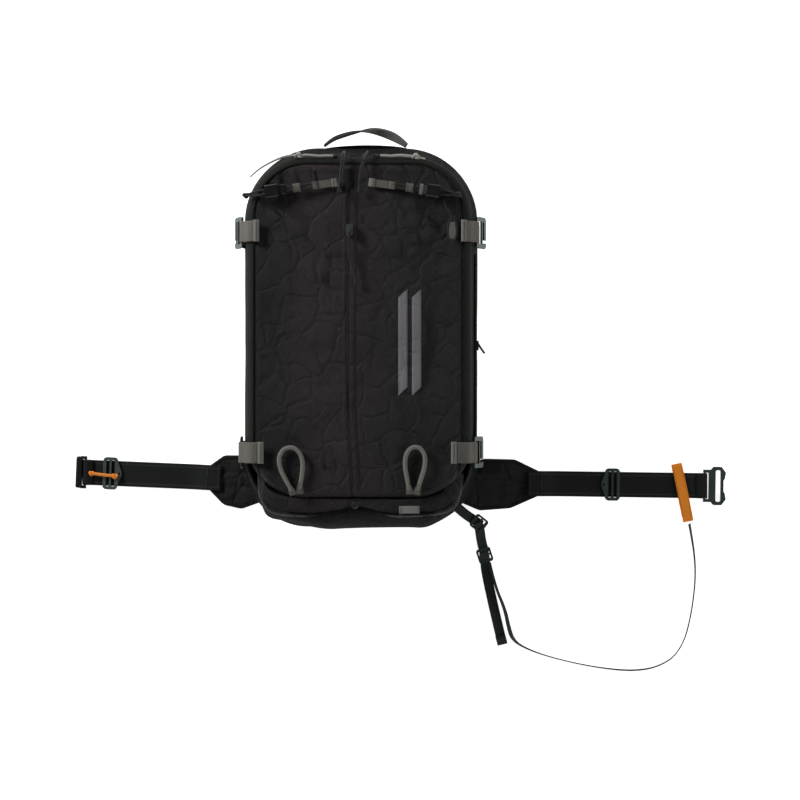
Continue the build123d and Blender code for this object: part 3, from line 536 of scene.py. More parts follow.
M = {
    "front": ripstop("front cloth", rgb(19, 17, 17), rgb(27, 24, 25), 19.0, 0.09, left_tint_and_painted_light=0.75),
    "lip": ripstop("lip cloth", rgb(18, 17, 17), rgb(25, 23, 23), 19.0, 0.22, left_tint_and_painted_light=0.6),
    # Boot and side cloth: darker than the front and lip cloth, as painted shade on the walls that face away from the
    # light; the side cloth is also a finer-gridded, blacker cloth of its own.
    "boot": ripstop("shaded boot cloth", rgb(14, 13, 13), rgb(20, 19, 19), 19.0, 0.16, rough=0.8, shine=0.05),
    "side": ripstop("shaded side cloth", rgb(11, 11, 11), rgb(16, 16, 16), 6.0, 0.12, diamond=False, rough=0.8, shine=0.05),
    "pad": ripstop("pad cloth", rgb(16, 15, 15), rgb(23, 22, 22), 5.0, 0.18, diamond=False),
    "lining": ripstop("lining", rgb(70, 74, 78), rgb(80, 84, 88), 5.0, 0.3, diamond=False),
    "mesh": air_mesh("air mesh", rgb(36, 36, 38), rgb(12, 12, 12)),
    "tape": woven("binding tape", rgb(20, 22, 19), rgb(36, 38, 33), 1.3, 0.5),
    "piping": woven("piping", rgb(24, 26, 24), rgb(52, 54, 50), 1.6, 0.6),
    "web_black": woven("black webbing", rgb(22, 23, 23), rgb(40, 42, 41), 2.2),
    "web_belt": woven("belt webbing", rgb(22, 24, 23), rgb(42, 44, 43), 2.4, stripe=rgb(50, 53, 52), stripe_from=13,
                      stripe_to=15),
    "web_grey": woven("grey webbing", rgb(70, 68, 64), rgb(120, 116, 109), 2.0),
    "web_light": woven("light webbing", rgb(96, 98, 94), rgb(146, 148, 143), 1.8),
    "web_thin": woven("leg webbing", rgb(38, 42, 42), rgb(70, 76, 75), 1.5),
    "handle": woven("handle outside", rgb(16, 16, 16), rgb(34, 34, 34), 2.0),
    "handle_in": woven("handle inside", rgb(108, 108, 104), rgb(150, 150, 146), 2.0),
    "cord_grey": braid("grey elastic", rgb(116, 120, 112), rgb(168, 172, 163)),
    "cord_grey_dark": braid("loop cord", rgb(72, 71, 68), rgb(128, 126, 119), 2.6),
    "cord_black": braid("black cord", rgb(15, 15, 16), rgb(46, 46, 47)),
    "cord_orange": braid("orange cord", rgb(226, 118, 26), rgb(255, 160, 66), 1.6),
    "orange_web": woven("orange webbing", rgb(236, 128, 28), rgb(255, 166, 66), 1.8, 0.5),
    "thread_orange": thread("orange thread", rgb(214, 112, 30)),
    # Zip coil and tape: black like the zip itself, and darker still as painted shade for the dark line along the front
    # zip.
    "coil": moulded("zip coil", rgb(9, 9, 10), 0.4, 600.0, light=rgb(40, 40, 42)),
    "tape_zip": woven("zip tape", rgb(8, 8, 8), rgb(18, 18, 18), 1.2, 0.5),
    "black": moulded("black plastic", rgb(20, 21, 22), 0.30, light=rgb(70, 72, 74)),
    "white": moulded("white plastic", rgb(226, 226, 222), 0.4),
    "red": moulded("red plastic", rgb(190, 40, 28), 0.35),
    "slate": brushed("slate hook", rgb(76, 88, 85), 0.36, (1, 6, 1)),
    "sage": brushed("sage bar", rgb(112, 124, 119), 0.38, (6, 1, 1)),
    "steel": brushed("steel", rgb(168, 170, 172), 0.28, (1, 5, 1)),
    "steel_dark": brushed("blackened steel", rgb(120, 122, 124), 0.3, (1, 4, 1)),
    "slate_dark": brushed("dark slate bar", rgb(46, 52, 52), 0.4, (1, 6, 1)),
    "sage_dark": brushed("dull sage bar", rgb(80, 92, 88), 0.4, (6, 1, 1)),
    "gloss": moulded("glossy black", rgb(16, 17, 18), 0.16, light=rgb(60, 62, 64)),
    "grey_plastic": moulded("grey plastic", rgb(98, 98, 94), 0.35),
    "sheet": moulded("frame plastic", rgb(216, 220, 222), 0.45),
    "nylon": ripstop("airbag nylon", rgb(222, 104, 28), rgb(236, 124, 40), 4.0, 0.0, diamond=False, rough=0.5),
    "cell": moulded("cell sleeve", rgb(52, 96, 132), 0.32, metal=0.2),
    "thread_dark": thread("dark thread", rgb(64, 62, 60)),
    "thread_grey": thread("grey thread", rgb(70, 70, 70)),
    "thread_light": thread("light thread", rgb(118, 112, 106)),
    "print": ripstop("plain print", rgb(104, 102, 106), rgb(118, 116, 120), 19.0, 0.04, rough=0.6),
    "tag": woven("blank tag", rgb(24, 24, 24), rgb(34, 34, 34), 1.3, 0.5),
}


# ---- The lid's front panel ----

LID_BOX = ((LID_LOW[0], SEAM_Y), (LID_HIGH[0], LID_HIGH[1]))
LID_RADII = (80.0, 80.0, 84.0, 84.0)


def crease(x, y, a, b, width, depth):
    """A fold along the line from a to b that dies out at both ends; depth below zero for a ridge."""
    a, b = np.array(a, float), np.array(b, float)
    line = b - a
    length = np.linalg.norm(line)
    along = ((x - a[0]) * line[0] + (y - a[1]) * line[1]) / length
    off = ((x - a[0]) * line[1] - (y - a[1]) * line[0]) / length
    bow = off + 0.06 * length * np.sin(np.pi * np.clip(along / length, 0, 1))
    ends = smooth(-0.25 * length, 0.2 * length, along) * (1 - smooth(0.8 * length, 1.25 * length, along))
    return -depth * ends * np.exp(-(bow / width) ** 2)


def crumple(x, y, size, stretch, tilt, ridge, seed):
    """Stiff cloth's crumpling: flat facets that each lean a little, with fine ridges where they meet."""
    out = np.zeros(len(x))
    for i, (a, b) in enumerate(zip(x / size, y / (size * stretch))):
        distances, sites = noise.voronoi(Vector((a + 0.25 * b, b, seed)))
        lean = [noise.noise(sites[0] * 5.1 + Vector((apart, 0.4 * apart, 0))) for apart in (0.0, 31.7, 67.3)]
        gap = distances[1] - distances[0]
        share = min(1.0, gap / 0.35)
        out[i] = tilt * ((a - sites[0][0]) * lean[0] + (b - sites[0][1]) * lean[1]) * share
        out[i] -= ridge * math.exp(-(gap / 0.07) ** 2) * (0.4 + 0.6 * abs(lean[2]) * 2)
    return out


PANEL_FOLDS = [((-110, 432), (-100, 402), 5, 2.6), ((-96, 436), (-84, 396), 4, -1.6), ((-60, 430), (-56, 414), 3, 1.6),
               ((-132, 420), (-112, 396), 5, 1.8), ((-128, 388), (-88, 356), 8, 2.0),
               ((-120, 372), (-76, 340), 7, -1.4),
               ((40, 396), (62, 336), 9, -2.0), ((84, 382), (118, 352), 8, 2.2), ((96, 330), (120, 300), 9, 1.4),
               ((-50, 42), (-46, 16), 3, 1.2), ((-38, 46), (-30, 14), 3, 1.2), ((-46, 20), (-32, 2), 3, 1.3),
               ((-120, 250), (-104, 150), 12, 1.4), ((104, 240), (92, 120), 12, 1.4),
               ((-70, 300), (-62, 200), 14, -1.2),
               ((56, 120), (76, 40), 9, 1.1), ((-96, 60), (-70, 20), 7, 1.2), ((30, 60), (44, 20), 6, 1.0)]


def lid_dome(depth, y):
    """Height of the lid at a depth from its edge: rounded round the sides and top, squarer along the bottom."""
    edge_round = LID_EDGE - 12.0 * (1 - smooth(0, 70, y))
    edge = np.clip(depth, 0, edge_round) / edge_round
    dome = np.sqrt(np.clip(1 - (1 - edge) ** 2, 0, 1))
    start = LID_LOW[2] + 1.0 + 9.0 * (1 - smooth(-10, 30, y))
    return start + (FRONT_Z - 1.2 - start) * dome


def binding_share(y):
    """The binding narrows to nothing where the lid goes under the lip."""
    return smooth(-6, 34, y)


def panel_height(x, y):
    """Height of the lid's outer face."""
    depth = inset_depth(x, y, *LID_BOX, LID_RADII)
    z = lid_dome(depth, y)
    slope = smooth(78, 134, np.abs(x + 6)) + 0.8 * smooth(380, 430, y)
    z = z - 2.6 * slope * smooth(4, 26, depth)
    flat = smooth(14, 40, depth)
    points = np.stack([x, y, 0 * x], axis=1)
    loose = 0.35 + 0.65 * smooth(64, 110, y) * (1 - smooth(345, 392, y))
    z = z + 1.8 * cloth_noise(points, 95, 1) * flat + 0.55 * cloth_noise(points, 34, 2) * flat
    z = z + (crumple(x, y, 64, 1.7, 11.0, 1.0, 1.0) + crumple(x, y, 29, 1.5, 3.0, 0.5, 4.0)) * flat * loose
    facet = np.abs(cloth_noise(points, 70, 6)) + 0.5 * np.abs(cloth_noise(points, 38, 13))
    z = z - 1.8 * facet * flat * smooth(8, 30, depth) + 0.5
    for a, b, width, fold in PANEL_FOLDS:
        z = z + 1.7 * crease(x, y, a, b, width, fold) * smooth(6, 24, depth)
    gutter = np.exp(-((x - zip_line(y)) / 5.5) ** 2) * smooth(-24, -20, y - ZIP_LOW[1])
    gutter = gutter * (1 - smooth(-6, 6, y - ZIP_HIGH[1]))
    z = z - 2.4 * gutter
    seam = np.exp(-((depth - BINDING - 1.5) / 1.6) ** 2) * binding_share(y)
    pucker = 0.5 + 0.5 * np.sin((x + y) / 2.1 + 3 * np.sin((x - y) / 11))
    z = z - seam * (0.9 + 0.7 * pucker * flat)
    ease = np.exp(-((depth - BINDING - 9) / 7) ** 2)
    z = z + 0.35 * ease * np.sin((x * 0.8 + y) / 5.3)
    return FRONT_Z - 0.2 - softplus(FRONT_Z - 0.2 - z, 0.5)


def softplus(value, width):
    """The value where it is well above zero, and a gentle curve to zero below."""
    return np.where(value / width > 30, value, width * np.log1p(np.exp(np.clip(value / width, -30, 30))))


def front_panel():
    """The front panel as one height field, row by row inward from its bound edge."""
    ring, _ = outline(*LID_BOX, LID_RADII, 56, 30)
    middle = np.array([[(LID_LOW[0] + LID_HIGH[0]) / 2, (SEAM_Y + LID_HIGH[1]) / 2]])
    x = np.arange(LID_LOW[0] - 2, LID_HIGH[0] + 2, 1.7)
    y = np.arange(SEAM_Y - 2, LID_HIGH[1] + 2, 1.7)
    gx, gy = np.meshgrid(x, y)
    fx, fy = gx.ravel(), gy.ravel()
    inside = inset_depth(fx, fy, *LID_BOX, LID_RADII)
    keep = inside > -1.8
    move = np.clip(-inside, 0, None)
    towards = middle - np.stack([fx, fy], axis=1)
    towards /= np.linalg.norm(towards, axis=1)[:, None]
    fx = fx + towards[:, 0] * move * 1.05
    fy = fy + towards[:, 1] * move * 1.05
    z = panel_height(fx, fy)
    number = -np.ones(len(fx), int)
    number[keep] = np.arange(keep.sum())
    faces = []
    columns = len(x)
    for i in range(len(y) - 1):
        for j in range(columns - 1):
            quad = (i * columns + j, i * columns + j + 1, (i + 1) * columns + j + 1, (i + 1) * columns + j)
            if all(keep[k] for k in quad):
                faces.append(tuple(int(number[k]) for k in quad))
    points = np.stack([fx, fy, z], axis=1)[keep]
    piece = mesh_piece("front_panel_cloth", points, faces, M["front"], "lid")
    thicken(piece, 1.4)
    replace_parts(piece, "front_panel")
    return piece


def on_panel(x, y, lift=0.0):
    """Points on the lid's outer face."""
    x, y = np.atleast_1d(np.asarray(x, float)), np.atleast_1d(np.asarray(y, float))
    return np.stack([x, y, panel_height(x, y) + lift], axis=1)


def front_binding():
    """The bound edge round the lid's sides and top, with a bead at the rim and two rows of stitches."""
    places, inward = outline(*LID_BOX, LID_RADII, 90, 60)
    share = binding_share(places[:, 1])
    rows = []
    for part, lift in ((0.0, -0.4), (0.02, 0.5), (0.12, 0.9), (0.3, 1.0), (0.55, 1.0), (0.8, 1.0), (0.94, 1.0),
                       (1.0, 0.6), (1.04, -0.6)):
        depth = part * BINDING * share
        z = lid_dome(depth, places[:, 1]) + lift * share - 1.4 * (1 - share)
        plan = places + inward * (depth - 0.5 * share)[:, None]
        rows.append(np.concatenate([plan, z[:, None]], axis=1))
    along = arc_lengths(places)
    uv = [(v, k * 1.9) for k in range(len(rows)) for v in along]
    faces = [f[::-1] for f in grid_faces(len(rows), len(places), close_columns=True)]
    tape = mesh_piece("lid_binding", np.concatenate(rows), faces, M["tape"], "lid", uv)
    thicken(tape, 0.8)
    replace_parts(tape, "front_binding")
    keep = places[:, 1] > 24
    first = int(np.argmax(keep & ~np.roll(keep, 1)))
    order = np.arange(first, first + keep.sum()) % len(places)
    for row, tag, lean in ((6, "inner", 0.1), (2, "outer", 1.2)):
        line = rows[row][order] + np.array([0, 0, 0.15])
        up = np.concatenate([-inward[order] * lean, np.ones((len(order), 1))], axis=1)
        stitches(f"binding_stitches_{tag}", line, up, M["thread_dark"], "lid", radius=0.28)
    bead = np.concatenate([places + inward * 0.6, np.full((len(places), 1), LID_LOW[2] + 0.8)], axis=1)
    loop_tube("lid_piping", bead, 1.5, M["piping"], "lid")
    return tape


# ---- The main compartment ----

def wall_outline(level):
    """The bag's outline between its broad back edge (0) and its rim (1)."""
    low = ((BAG_LOW[0], BASE_LOW[1] + 4), (BAG_HIGH[0], BAG_HIGH[1] - 1))
    high = ((-158.0, -47.0), (158.0, 456.0))
    share = 1 - (1 - level) ** 1.1
    box = [tuple(a + (b - a) * share for a, b in zip(low[i], high[i])) for i in (0, 1)]
    radii = [a + (b - a) * share for a, b in zip((94, 94, 110, 110), (82, 82, 88, 88))]
    return outline(box[0], box[1], radii, 34, 22)


def main_shell():
    """The side walls from the back edge to the rim, and the flat back wall."""
    levels = np.concatenate([np.linspace(0, 0.06, 4), np.linspace(0.1, 1, 34)])
    rows = []
    for level in levels:
        places, inward = wall_outline(level)
        z = SHELL_LOW + (RIM_Z - SHELL_LOW) * level
        points = np.concatenate([places, np.full((len(places), 1), z)], axis=1)
        tuck = 5.0 * (1 - smooth(0, 0.07, level))
        belly = np.sin(math.pi * level)
        sag = cloth_noise(points, 120, 4) * 5.5 + cloth_noise(points, 46, 5) * 2.2 + cloth_noise(points, 22, 9) * 0.7
        move = tuck + 3.4 * belly + sag * belly * 0.9 - 2.0 * belly
        seam = 1.6 * math.exp(-((level - 0.42) / 0.014) ** 2)
        at_zip = (points[:, 0] > 100) * math.exp(-((z - 100) / 14) ** 2)
        at_zip = at_zip * smooth(30, 60, points[:, 1]) * (1 - smooth(322, 352, points[:, 1]))
        move = np.maximum((move + seam) * (1 - at_zip), 0.2)
        points[:, :2] += inward * move[:, None]
        rows.append(points)
    places, inward = wall_outline(1)
    lip = np.concatenate([places + inward * 5, np.full((len(places), 1), RIM_Z - 0.4)], axis=1)
    rows.append(lip)
    columns = len(rows[0])
    points = np.concatenate(rows)
    faces = grid_faces(len(rows), columns, close_columns=True)
    for share in (0.96, 0.82, 0.5, 0.15):
        centre = rows[0].mean(axis=0)
        ring = centre + (rows[0] - centre) * share
        ring[:, 2] = SHELL_LOW
        start = len(points)
        previous = 0 if share == 0.96 else start - columns
        points = np.concatenate([points, ring])
        faces += [(previous + (j + 1) % columns, previous + j, start + j, start + (j + 1) % columns)
                  for j in range(columns)]
    faces.append(tuple(len(points) - columns + j for j in range(columns))[::-1])
    shell = mesh_piece("main_compartment_cloth", points, faces, M["side"], "root")
    thicken(shell, 2.0)
    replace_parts(shell, "main_compartment")
    index = int(np.argmin(np.abs(levels - 0.42)))
    _, seam_in = wall_outline(levels[index])
    row = rows[index] + np.concatenate([-seam_in * 0.2, np.full((columns, 1), 3.0)], axis=1)
    up = np.concatenate([-seam_in, np.zeros((columns, 1))], axis=1)
    stitches("side_seam_stitches", row, up, M["thread_dark"], "root", radius=0.3)
    return shell


LIP_INNER = [(-134, 16), (-133, 3), (-127, -9), (-112, -17.5), (-93, -21.5), (-40, -22.6), (8, -22.8), (56, -23.2),
             (96, -21.6), (112, -16), (124, -3), (129, 11)]
LIP_OUTER = [(-143, 16), (-142.5, -6), (-139, -26), (-125, -45), (-94, -49), (-48, -49.5), (-2, -36), (40, -50),
             (84, -49), (120, -46), (143, -30), (147, 11)]


def spaced(route, count):
    line = even(nurbs_line([(x, y, 0) for x, y in route]), 0.5)
    pick = np.linspace(0, len(line) - 1, count).astype(int)
    return line[pick, :2]


def base_lip():
    """The padded lip that hugs the lid's lower end."""
    count = 230
    inner, outer = spaced(LIP_INNER, count), spaced(LIP_OUTER, count)
    crest = smooth(0, 0.16, np.linspace(0, 1, count)) * smooth(0, 0.16, np.linspace(1, 0, count))
    top = 168.5 + (BASE_HIGH[2] - 169.5) * crest
    shape = [(-0.10, -9.0), (-0.04, -3.6), (0.03, -1.3), (0.10, -0.5), (0.2, -0.5), (0.35, -1.0), (0.5, -1.7),
             (0.65, -2.6), (0.8, -3.9), (0.9, -5.6), (0.97, -7.6), (1.0, -9.5), (0.99, -11.0), (0.95, -12.5)]
    rows = []
    for share, drop in shape:
        plan = inner + (outer - inner) * share
        points = np.concatenate([plan, (top + drop)[:, None]], axis=1)
        loose = smooth(0, 0.2, share) * (1 - smooth(0.85, 1, share))
        points[:, 2] += (1.1 * cloth_noise(points, 34, 7) + 0.5 * cloth_noise(points, 13, 8)) * loose
        points[:, 2] = np.minimum(points[:, 2], BASE_HIGH[2])
        rows.append(points)
    faces = [f[::-1] for f in grid_faces(len(rows), count)]
    lip = mesh_piece("base_lip_cloth", np.concatenate(rows), faces, M["lip"], "root")
    thicken(lip, 1.6)
    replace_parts(lip, "base_panel")
    for row, name in ((3, "lip_stitches"), (9, "lip_hem_stitches")):
        line = rows[row][4:-4] + np.array([0, 0, 0.15])
        up = np.tile([0, 0, 1.0] if row == 3 else [0, -0.6, 1.0], (len(line), 1))
        stitches(name, line, up, M["thread_dark"], "root", length=2.6, gap=1.2)
    return lip


BOOT_LOW = [(-143, -20), (-140, -50), (-128, -60), (-104, -61.5), (-86, -67), (-50, -75), (-20, -73), (68, -71),
            (92, -73), (110, -65), (140, -47), (146, -20)]


def base_boot():
    """The reinforced cloth that falls from under the lip to the back edge, fuller in the middle."""
    count = 230
    inner, outer, low = (spaced(route, count) for route in (LIP_INNER, LIP_OUTER, BOOT_LOW))
    high = inner + (outer - inner) * 0.8
    levels = np.linspace(0, 1, 22)
    rows = []
    for level in levels:
        share = math.sin(level * math.pi / 2) ** 0.8
        plan = high + (low - high) * share
        ends = smooth(0, 0.15, np.linspace(0, 1, count)) * smooth(0, 0.15, np.linspace(1, 0, count))
        z = 170 + 6 * ends - (112 + 6 * ends) * level ** 1.3 - 12 * (1 - ends)
        points = np.stack([plan[:, 0], plan[:, 1], z], axis=1)
        wave = 2.4 * cloth_noise(points, 60, 11) + 1.1 * cloth_noise(points, 24, 12)
        points[:, 1] += wave * math.sin(math.pi * min(1, level * 1.3)) + 1.0
        points[:, 1] = np.maximum(points[:, 1], BASE_LOW[1] + 1.5)
        rows.append(points)
    under = rows[-1].copy()
    under[:, 2] -= 18
    under[:, 1] += 6
    rows.append(under)
    faces = [f[::-1] for f in grid_faces(len(rows), count)]
    boot = mesh_piece("base_boot_cloth", np.concatenate(rows), faces, M["boot"], "root")
    thicken(boot, 1.4)
    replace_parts(boot, "base_panel")
    return boot


# ---- Zips ----

def zip_line(y):
    """The front zip bows a little to the left at the middle of its run."""
    share = np.clip((y - ZIP_LOW[1] + 20) / (ZIP_HIGH[1] - ZIP_LOW[1] + 20), 0, 1)
    return ZIP_X + 4.2 * (1 - smooth(0, 0.30, share)) - 2.6 * np.sin(math.pi * share) + 0.9


def coil_mesh(name, centre, across, face, material, body, half=2.0, pitch=1.25, wire=0.42):
    """A closed zip coil: one small bar across for each turn, with a bend at either end."""
    along = arc_lengths(centre)
    marks = np.arange(0, along[-1], pitch)
    place, side, up = [np.stack([np.interp(marks, along, v[:, i]) for i in range(3)], axis=1)
                       for v in (centre, across, face)]
    section = [(math.cos(math.pi * k / 3), math.sin(math.pi * k / 3)) for k in range(6)]
    tangent = np.cross(side, up)
    points, faces = [], []
    for i in range(len(marks)):
        base = len(points)
        for reach, drop in ((-1, -0.5), (-0.9, 0.35), (-0.3, 0.8), (0.3, 0.8), (0.9, 0.35), (1, -0.5)):
            spot = place[i] + side[i] * reach * half + up[i] * drop * 0.9
            for a, b in section:
                points.append(spot + tangent[i] * a * wire + up[i] * b * wire)
        faces += [tuple(base + v for v in quad) for quad in grid_faces(6, 6, close_columns=True)]
    return mesh_piece(name, points, faces, material, body)


def front_zip():
    y = np.linspace(ZIP_LOW[1] - 21, ZIP_HIGH[1] - 2, 280)
    x = zip_line(y)
    rows = []
    for offset, lift in ((-3.2, 0.1), (-2.4, 0.5), (-1.6, 0.2), (1.6, 0.2), (2.4, 0.5), (3.2, 0.1)):
        rows.append(on_panel(x + offset, y, lift))
    uv = [(v, k * 2.0) for k in range(len(rows)) for v in y]
    tape = mesh_piece("front_zip_tape", np.concatenate(rows), grid_faces(len(rows), len(y)), M["tape_zip"], "lid",
                      uv)
    thicken(tape, 0.5)
    for name, edges in (("left", ((-9.0, -0.3), (-6.5, 0.1), (-4.6, 0.5), (-2.6, 0.9), (-1.7, 0.7), (-1.6, -0.2))),
                        ("right", ((1.1, 0.1), (1.2, 2.0), (2.2, 2.9), (4.5, 2.3), (7.0, 1.3), (9.0, 0.4),
                                   (10.5, -0.4)))):
        folds = [on_panel(x + offset, y, lift) for offset, lift in edges]
        flap = mesh_piece(f"front_zip_flap_{name}", np.concatenate(folds), grid_faces(len(folds), len(y)), M["front"],
                          "lid")
        thicken(flap, 0.5)
    centre = on_panel(x, y, 0.7)
    side = np.tile([1.0, 0, 0], (len(y), 1))
    up = np.tile([0, 0, 1.0], (len(y), 1))
    coil_mesh("front_zip_coil", centre, side, up, M["coil"], "lid")
    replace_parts(tape, "front_zip")
    stitches("front_zip_stitches", on_panel(x + 7.6, y, 1.2), up, M["thread_grey"], "lid",
             length=3.4, gap=1.0, radius=0.26)


def main_zip():
    """Tape and coil between the tray's rim and the lid, round three sides."""
    places, inward = outline((LID_LOW[0], SEAM_Y), (LID_HIGH[0], LID_HIGH[1]), LID_RADII, 90, 44)
    keep = places[:, 1] > 9
    first = int(np.argmax(keep & ~np.roll(keep, 1)))
    order = np.arange(first, first + keep.sum()) % len(places)
    places, inward = places[order], inward[order]
    rows = []
    for depth, z in ((7, 158.5), (1.6, 159.4), (0.8, 160.4), (0.8, 163.2), (1.6, 164.4), (6, 165)):
        rows.append(np.concatenate([places + inward * depth, np.full((len(places), 1), z)], axis=1))
    along = arc_lengths(places)
    uv = [(v, k * 1.5) for k in range(len(rows)) for v in along]
    tape = mesh_piece("main_zip_tape", np.concatenate(rows), grid_faces(len(rows), len(places)), M["tape_zip"], "root",
                      uv)
    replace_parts(tape, "main_zip")
    centre = np.concatenate([places + inward * 0.9, np.full((len(places), 1), 161.8)], axis=1)
    out = np.concatenate([-inward, np.zeros((len(places), 1))], axis=1)
    up = np.tile([0, 0, 1.0], (len(places), 1))
    coil_mesh("main_zip_coil", centre, up, out, M["coil"], "root", half=1.4, wire=0.38)
    rim, into = wall_outline(1)
    bead = np.concatenate([rim + into * 1.2, np.full((len(rim), 1), RIM_Z - 1.0)], axis=1)
    return loop_tube("rim_piping", bead, 2.0, M["piping"], "root")


def loop_tube(name, ring, radius, material, body, sides=10):
    """A closed bead round a ring of points."""
    tangent = np.roll(ring, -1, axis=0) - np.roll(ring, 1, axis=0)
    tangent /= np.linalg.norm(tangent, axis=1)[:, None]
    up = np.array([0, 0, 1.0])
    side = np.cross(tangent, up)
    side /= np.linalg.norm(side, axis=1)[:, None]
    rise = np.cross(side, tangent)
    along = arc_lengths(ring)
    points, uv = [], []
    for i, place in enumerate(ring):
        for k in range(sides):
            turn = 2 * math.pi * k / sides
            points.append(place + (side[i] * math.cos(turn) + rise[i] * math.sin(turn)) * radius)
            uv.append((along[i], turn * radius))
    faces = []
    for i in range(len(ring)):
        j = (i + 1) % len(ring)
        faces += [(i * sides + k, i * sides + (k + 1) % sides, j * sides + (k + 1) % sides, j * sides + k)
                  for k in range(sides)]
    return mesh_piece(name, points, faces, material, body, uv)


# ---- Cords on the lid ----

PULL_ROUTES = {
    "front_zip_pull": [(-13, 346, 197.9), (-14, 330, 195.4), (-11, 313, 193), (-6, 295, 193), (-4, 277, 193)],
    "main_zip_pull_left": [(-21, 460, 169.6), (-22, 457, 187), (-24, 440, 194), (-26, 421, 195), (-27, 404, 196.5)],
    "main_zip_pull_right": [(12, 460, 169.6), (11, 457, 187), (7, 440, 193.5), (2, 421, 193.5), (0, 404, 193.5)],
}


def zip_pull(node, body, gap):
    """A cord pull: one declared strand, its twin beside it, and the knots that tie them."""
    route = PULL_ROUTES[node]
    strand = cord_curve(node + "_strand", route, 1.3, M["cord_black"], body)
    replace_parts(strand, node)
    line = nurbs_line(route)
    spread = np.sin(np.linspace(0.1, math.pi * 0.9, len(line)))[:, None] * np.array([gap, 0, 0])
    twin = tube_mesh(node + "_twin", [tuple(p) for p in (line + spread + [0.6, 0, 0.2])[2::14]], 1.4,
                     M["cord_black"], body)
    end = line[-1]
    tie = knot(node + "_knot", end + [0.4, -1.5, 0], line[-1] - line[-8], 3.0, 1.4, M["cord_black"], body)
    lower = line[int(len(line) * 0.42)]
    mid = knot(node + "_upper_knot", lower + [gap / 2, 0, 0], (0, 1, 0), 2.1, 1.15, M["cord_black"], body)


AXE = {"left": (-64.0, 188.0, 92.0, -6.0, 57.0), "right": (49.0, -8.0, 88.0, -2.0, 54.0)}
AXE_Z = 192.6


def axe_point(side, u, v, z):
    start, heading, _, _, _ = AXE[side]
    turn = math.radians(heading)
    return (start + u * math.cos(turn) - v * math.sin(turn), 410 + u * math.sin(turn) + v * math.cos(turn), z)


def bartack(name, centre, along, width, body, material=None, rows=5, z_lift=0.0):
    """A dense block of zigzag stitches that anchors a strap."""
    d = np.array([along[0], along[1], 0.0])
    d /= np.linalg.norm(d)
    n = np.array([-d[1], d[0], 0])
    count = 22
    zig = []
    for k in range(count * 2):
        zig.append(np.array(centre) + n * (k / (count * 2 - 1) - 0.5) * width + d * (1.1 if k % 2 else -1.1)
                   + np.array([0, 0, z_lift]))
    return tube_mesh(name, [tuple(p) for p in zig], 0.32, material or M["thread_light"], body, sides=6, step=0.7)


def axe_holder(side):
    _, _, reach, drop, _ = AXE[side]
    up = (0, 0, 1)
    tab = [axe_point(side, u, 0, 190.2 + lift) for u, lift in ((-36, -0.5), (-24, 0), (-10, 0.3), (-3, 0.6), (0.5, 1.2),
                                                              (1.5, 2.2), (-1.0, 3.0), (-7, 1.9))]
    strap = webbing(f"axe_tab_{side}", tab, [up] * 5 + [(0.6, 0, 0.6), up, up], 10.5, 1.3, M["web_grey"], "lid")
    thick_end = [axe_point(side, u, 0, 190.9) for u in (-35, -31, -27)]
    patch = webbing(f"axe_tab_end_{side}", thick_end, [up] * 3, 11.5, 1.5, M["web_light"], "lid")
    for u in (-29, -7):
        heading = math.radians(AXE[side][1])
        bartack(f"axe_tack_{side}_{-u}", axe_point(side, u, 0, 191.9), (math.cos(heading), math.sin(heading)), 9,
                "lid")
    pieces = [strap, patch]
    for k, across in enumerate((-2.2, 2.2)):
        route = [axe_point(side, u, across * s, AXE_Z + z) for u, s, z in
                 ((0.5, 1.0, 0.2), (10, 1.3, 0.3), (24, 0.9, 0.2), (44, 1.2, 0), (60, 1.2, 0), (72, 1.5, 0.2),
                  (reach - 8, 0.9, drop * 0.6), (reach, 0.25, drop))]
        pieces.append(tube_mesh(f"axe_cord_{side}_{k}", route, 1.55, M["cord_black"], "lid"))
    end = axe_point(side, reach + 1, 0, AXE_Z + drop - 0.5)
    turn = math.radians(AXE[side][1])
    pieces.append(knot(f"axe_knot_{side}", end, (math.cos(turn), math.sin(turn), 0), 3.4, 1.6, M["cord_black"], "lid"))
    keeper = [axe_point(side, u, v, z) for u, v, z in
              ((21.5, -5.4, 190.2), (21.5, -6.0, 193.8), (21.5, -3.4, 195.2), (21.5, 0, 195.5), (21.5, 3.4, 195.2),
               (21.5, 6.0, 193.8), (21.5, 5.4, 190.2))]
    outward = [(-math.sin(turn) * s, math.cos(turn) * s, c) for s, c in
               ((-1, 0.1), (-0.9, 0.5), (-0.1, 1), (0, 1), (0.1, 1), (0.9, 0.5), (1, 0.1))]
    pieces.append(webbing(f"axe_keeper_{side}", keeper, outward, 10.4, 1.0, M["web_grey"], "lid"))
    for u in (17.6, 25.2):
        heading = (math.cos(turn), math.sin(turn))
        pieces.append(bartack(f"axe_keeper_tack_{side}_{int(u)}", axe_point(side, u, 0, 196.2), heading, 8, "lid"))
    return pieces


def side_tab():
    """A grey pull tab in an oval cord ring on the right."""
    up = (0, 0, 1)
    tab = webbing("side_gear_tab", [(129, 336, 190), (129.3, 343, 190.6), (129.6, 352, 190.6), (129.4, 360, 190.2)],
                  [up] * 4, 8.6, 1.7, M["web_grey"], "lid", widths=[0.8, 1.1, 1.1, 0.7])
    ring = []
    for k in range(13):
        turn = 2 * math.pi * k / 12 + math.pi / 2
        ring.append((129.2 + 6.6 * math.cos(turn), 349 + 15.5 * math.sin(turn), 190.4))
    tube_mesh("side_gear_ring", ring, 1.25, M["cord_black"], "lid")
    tube_mesh("side_gear_cord", [(118, 389, 190.8), (119, 382, 190.6), (124, 376, 190.5), (129, 364.5, 190.6)], 0.9,
              M["cord_black"], "lid")
    return tab


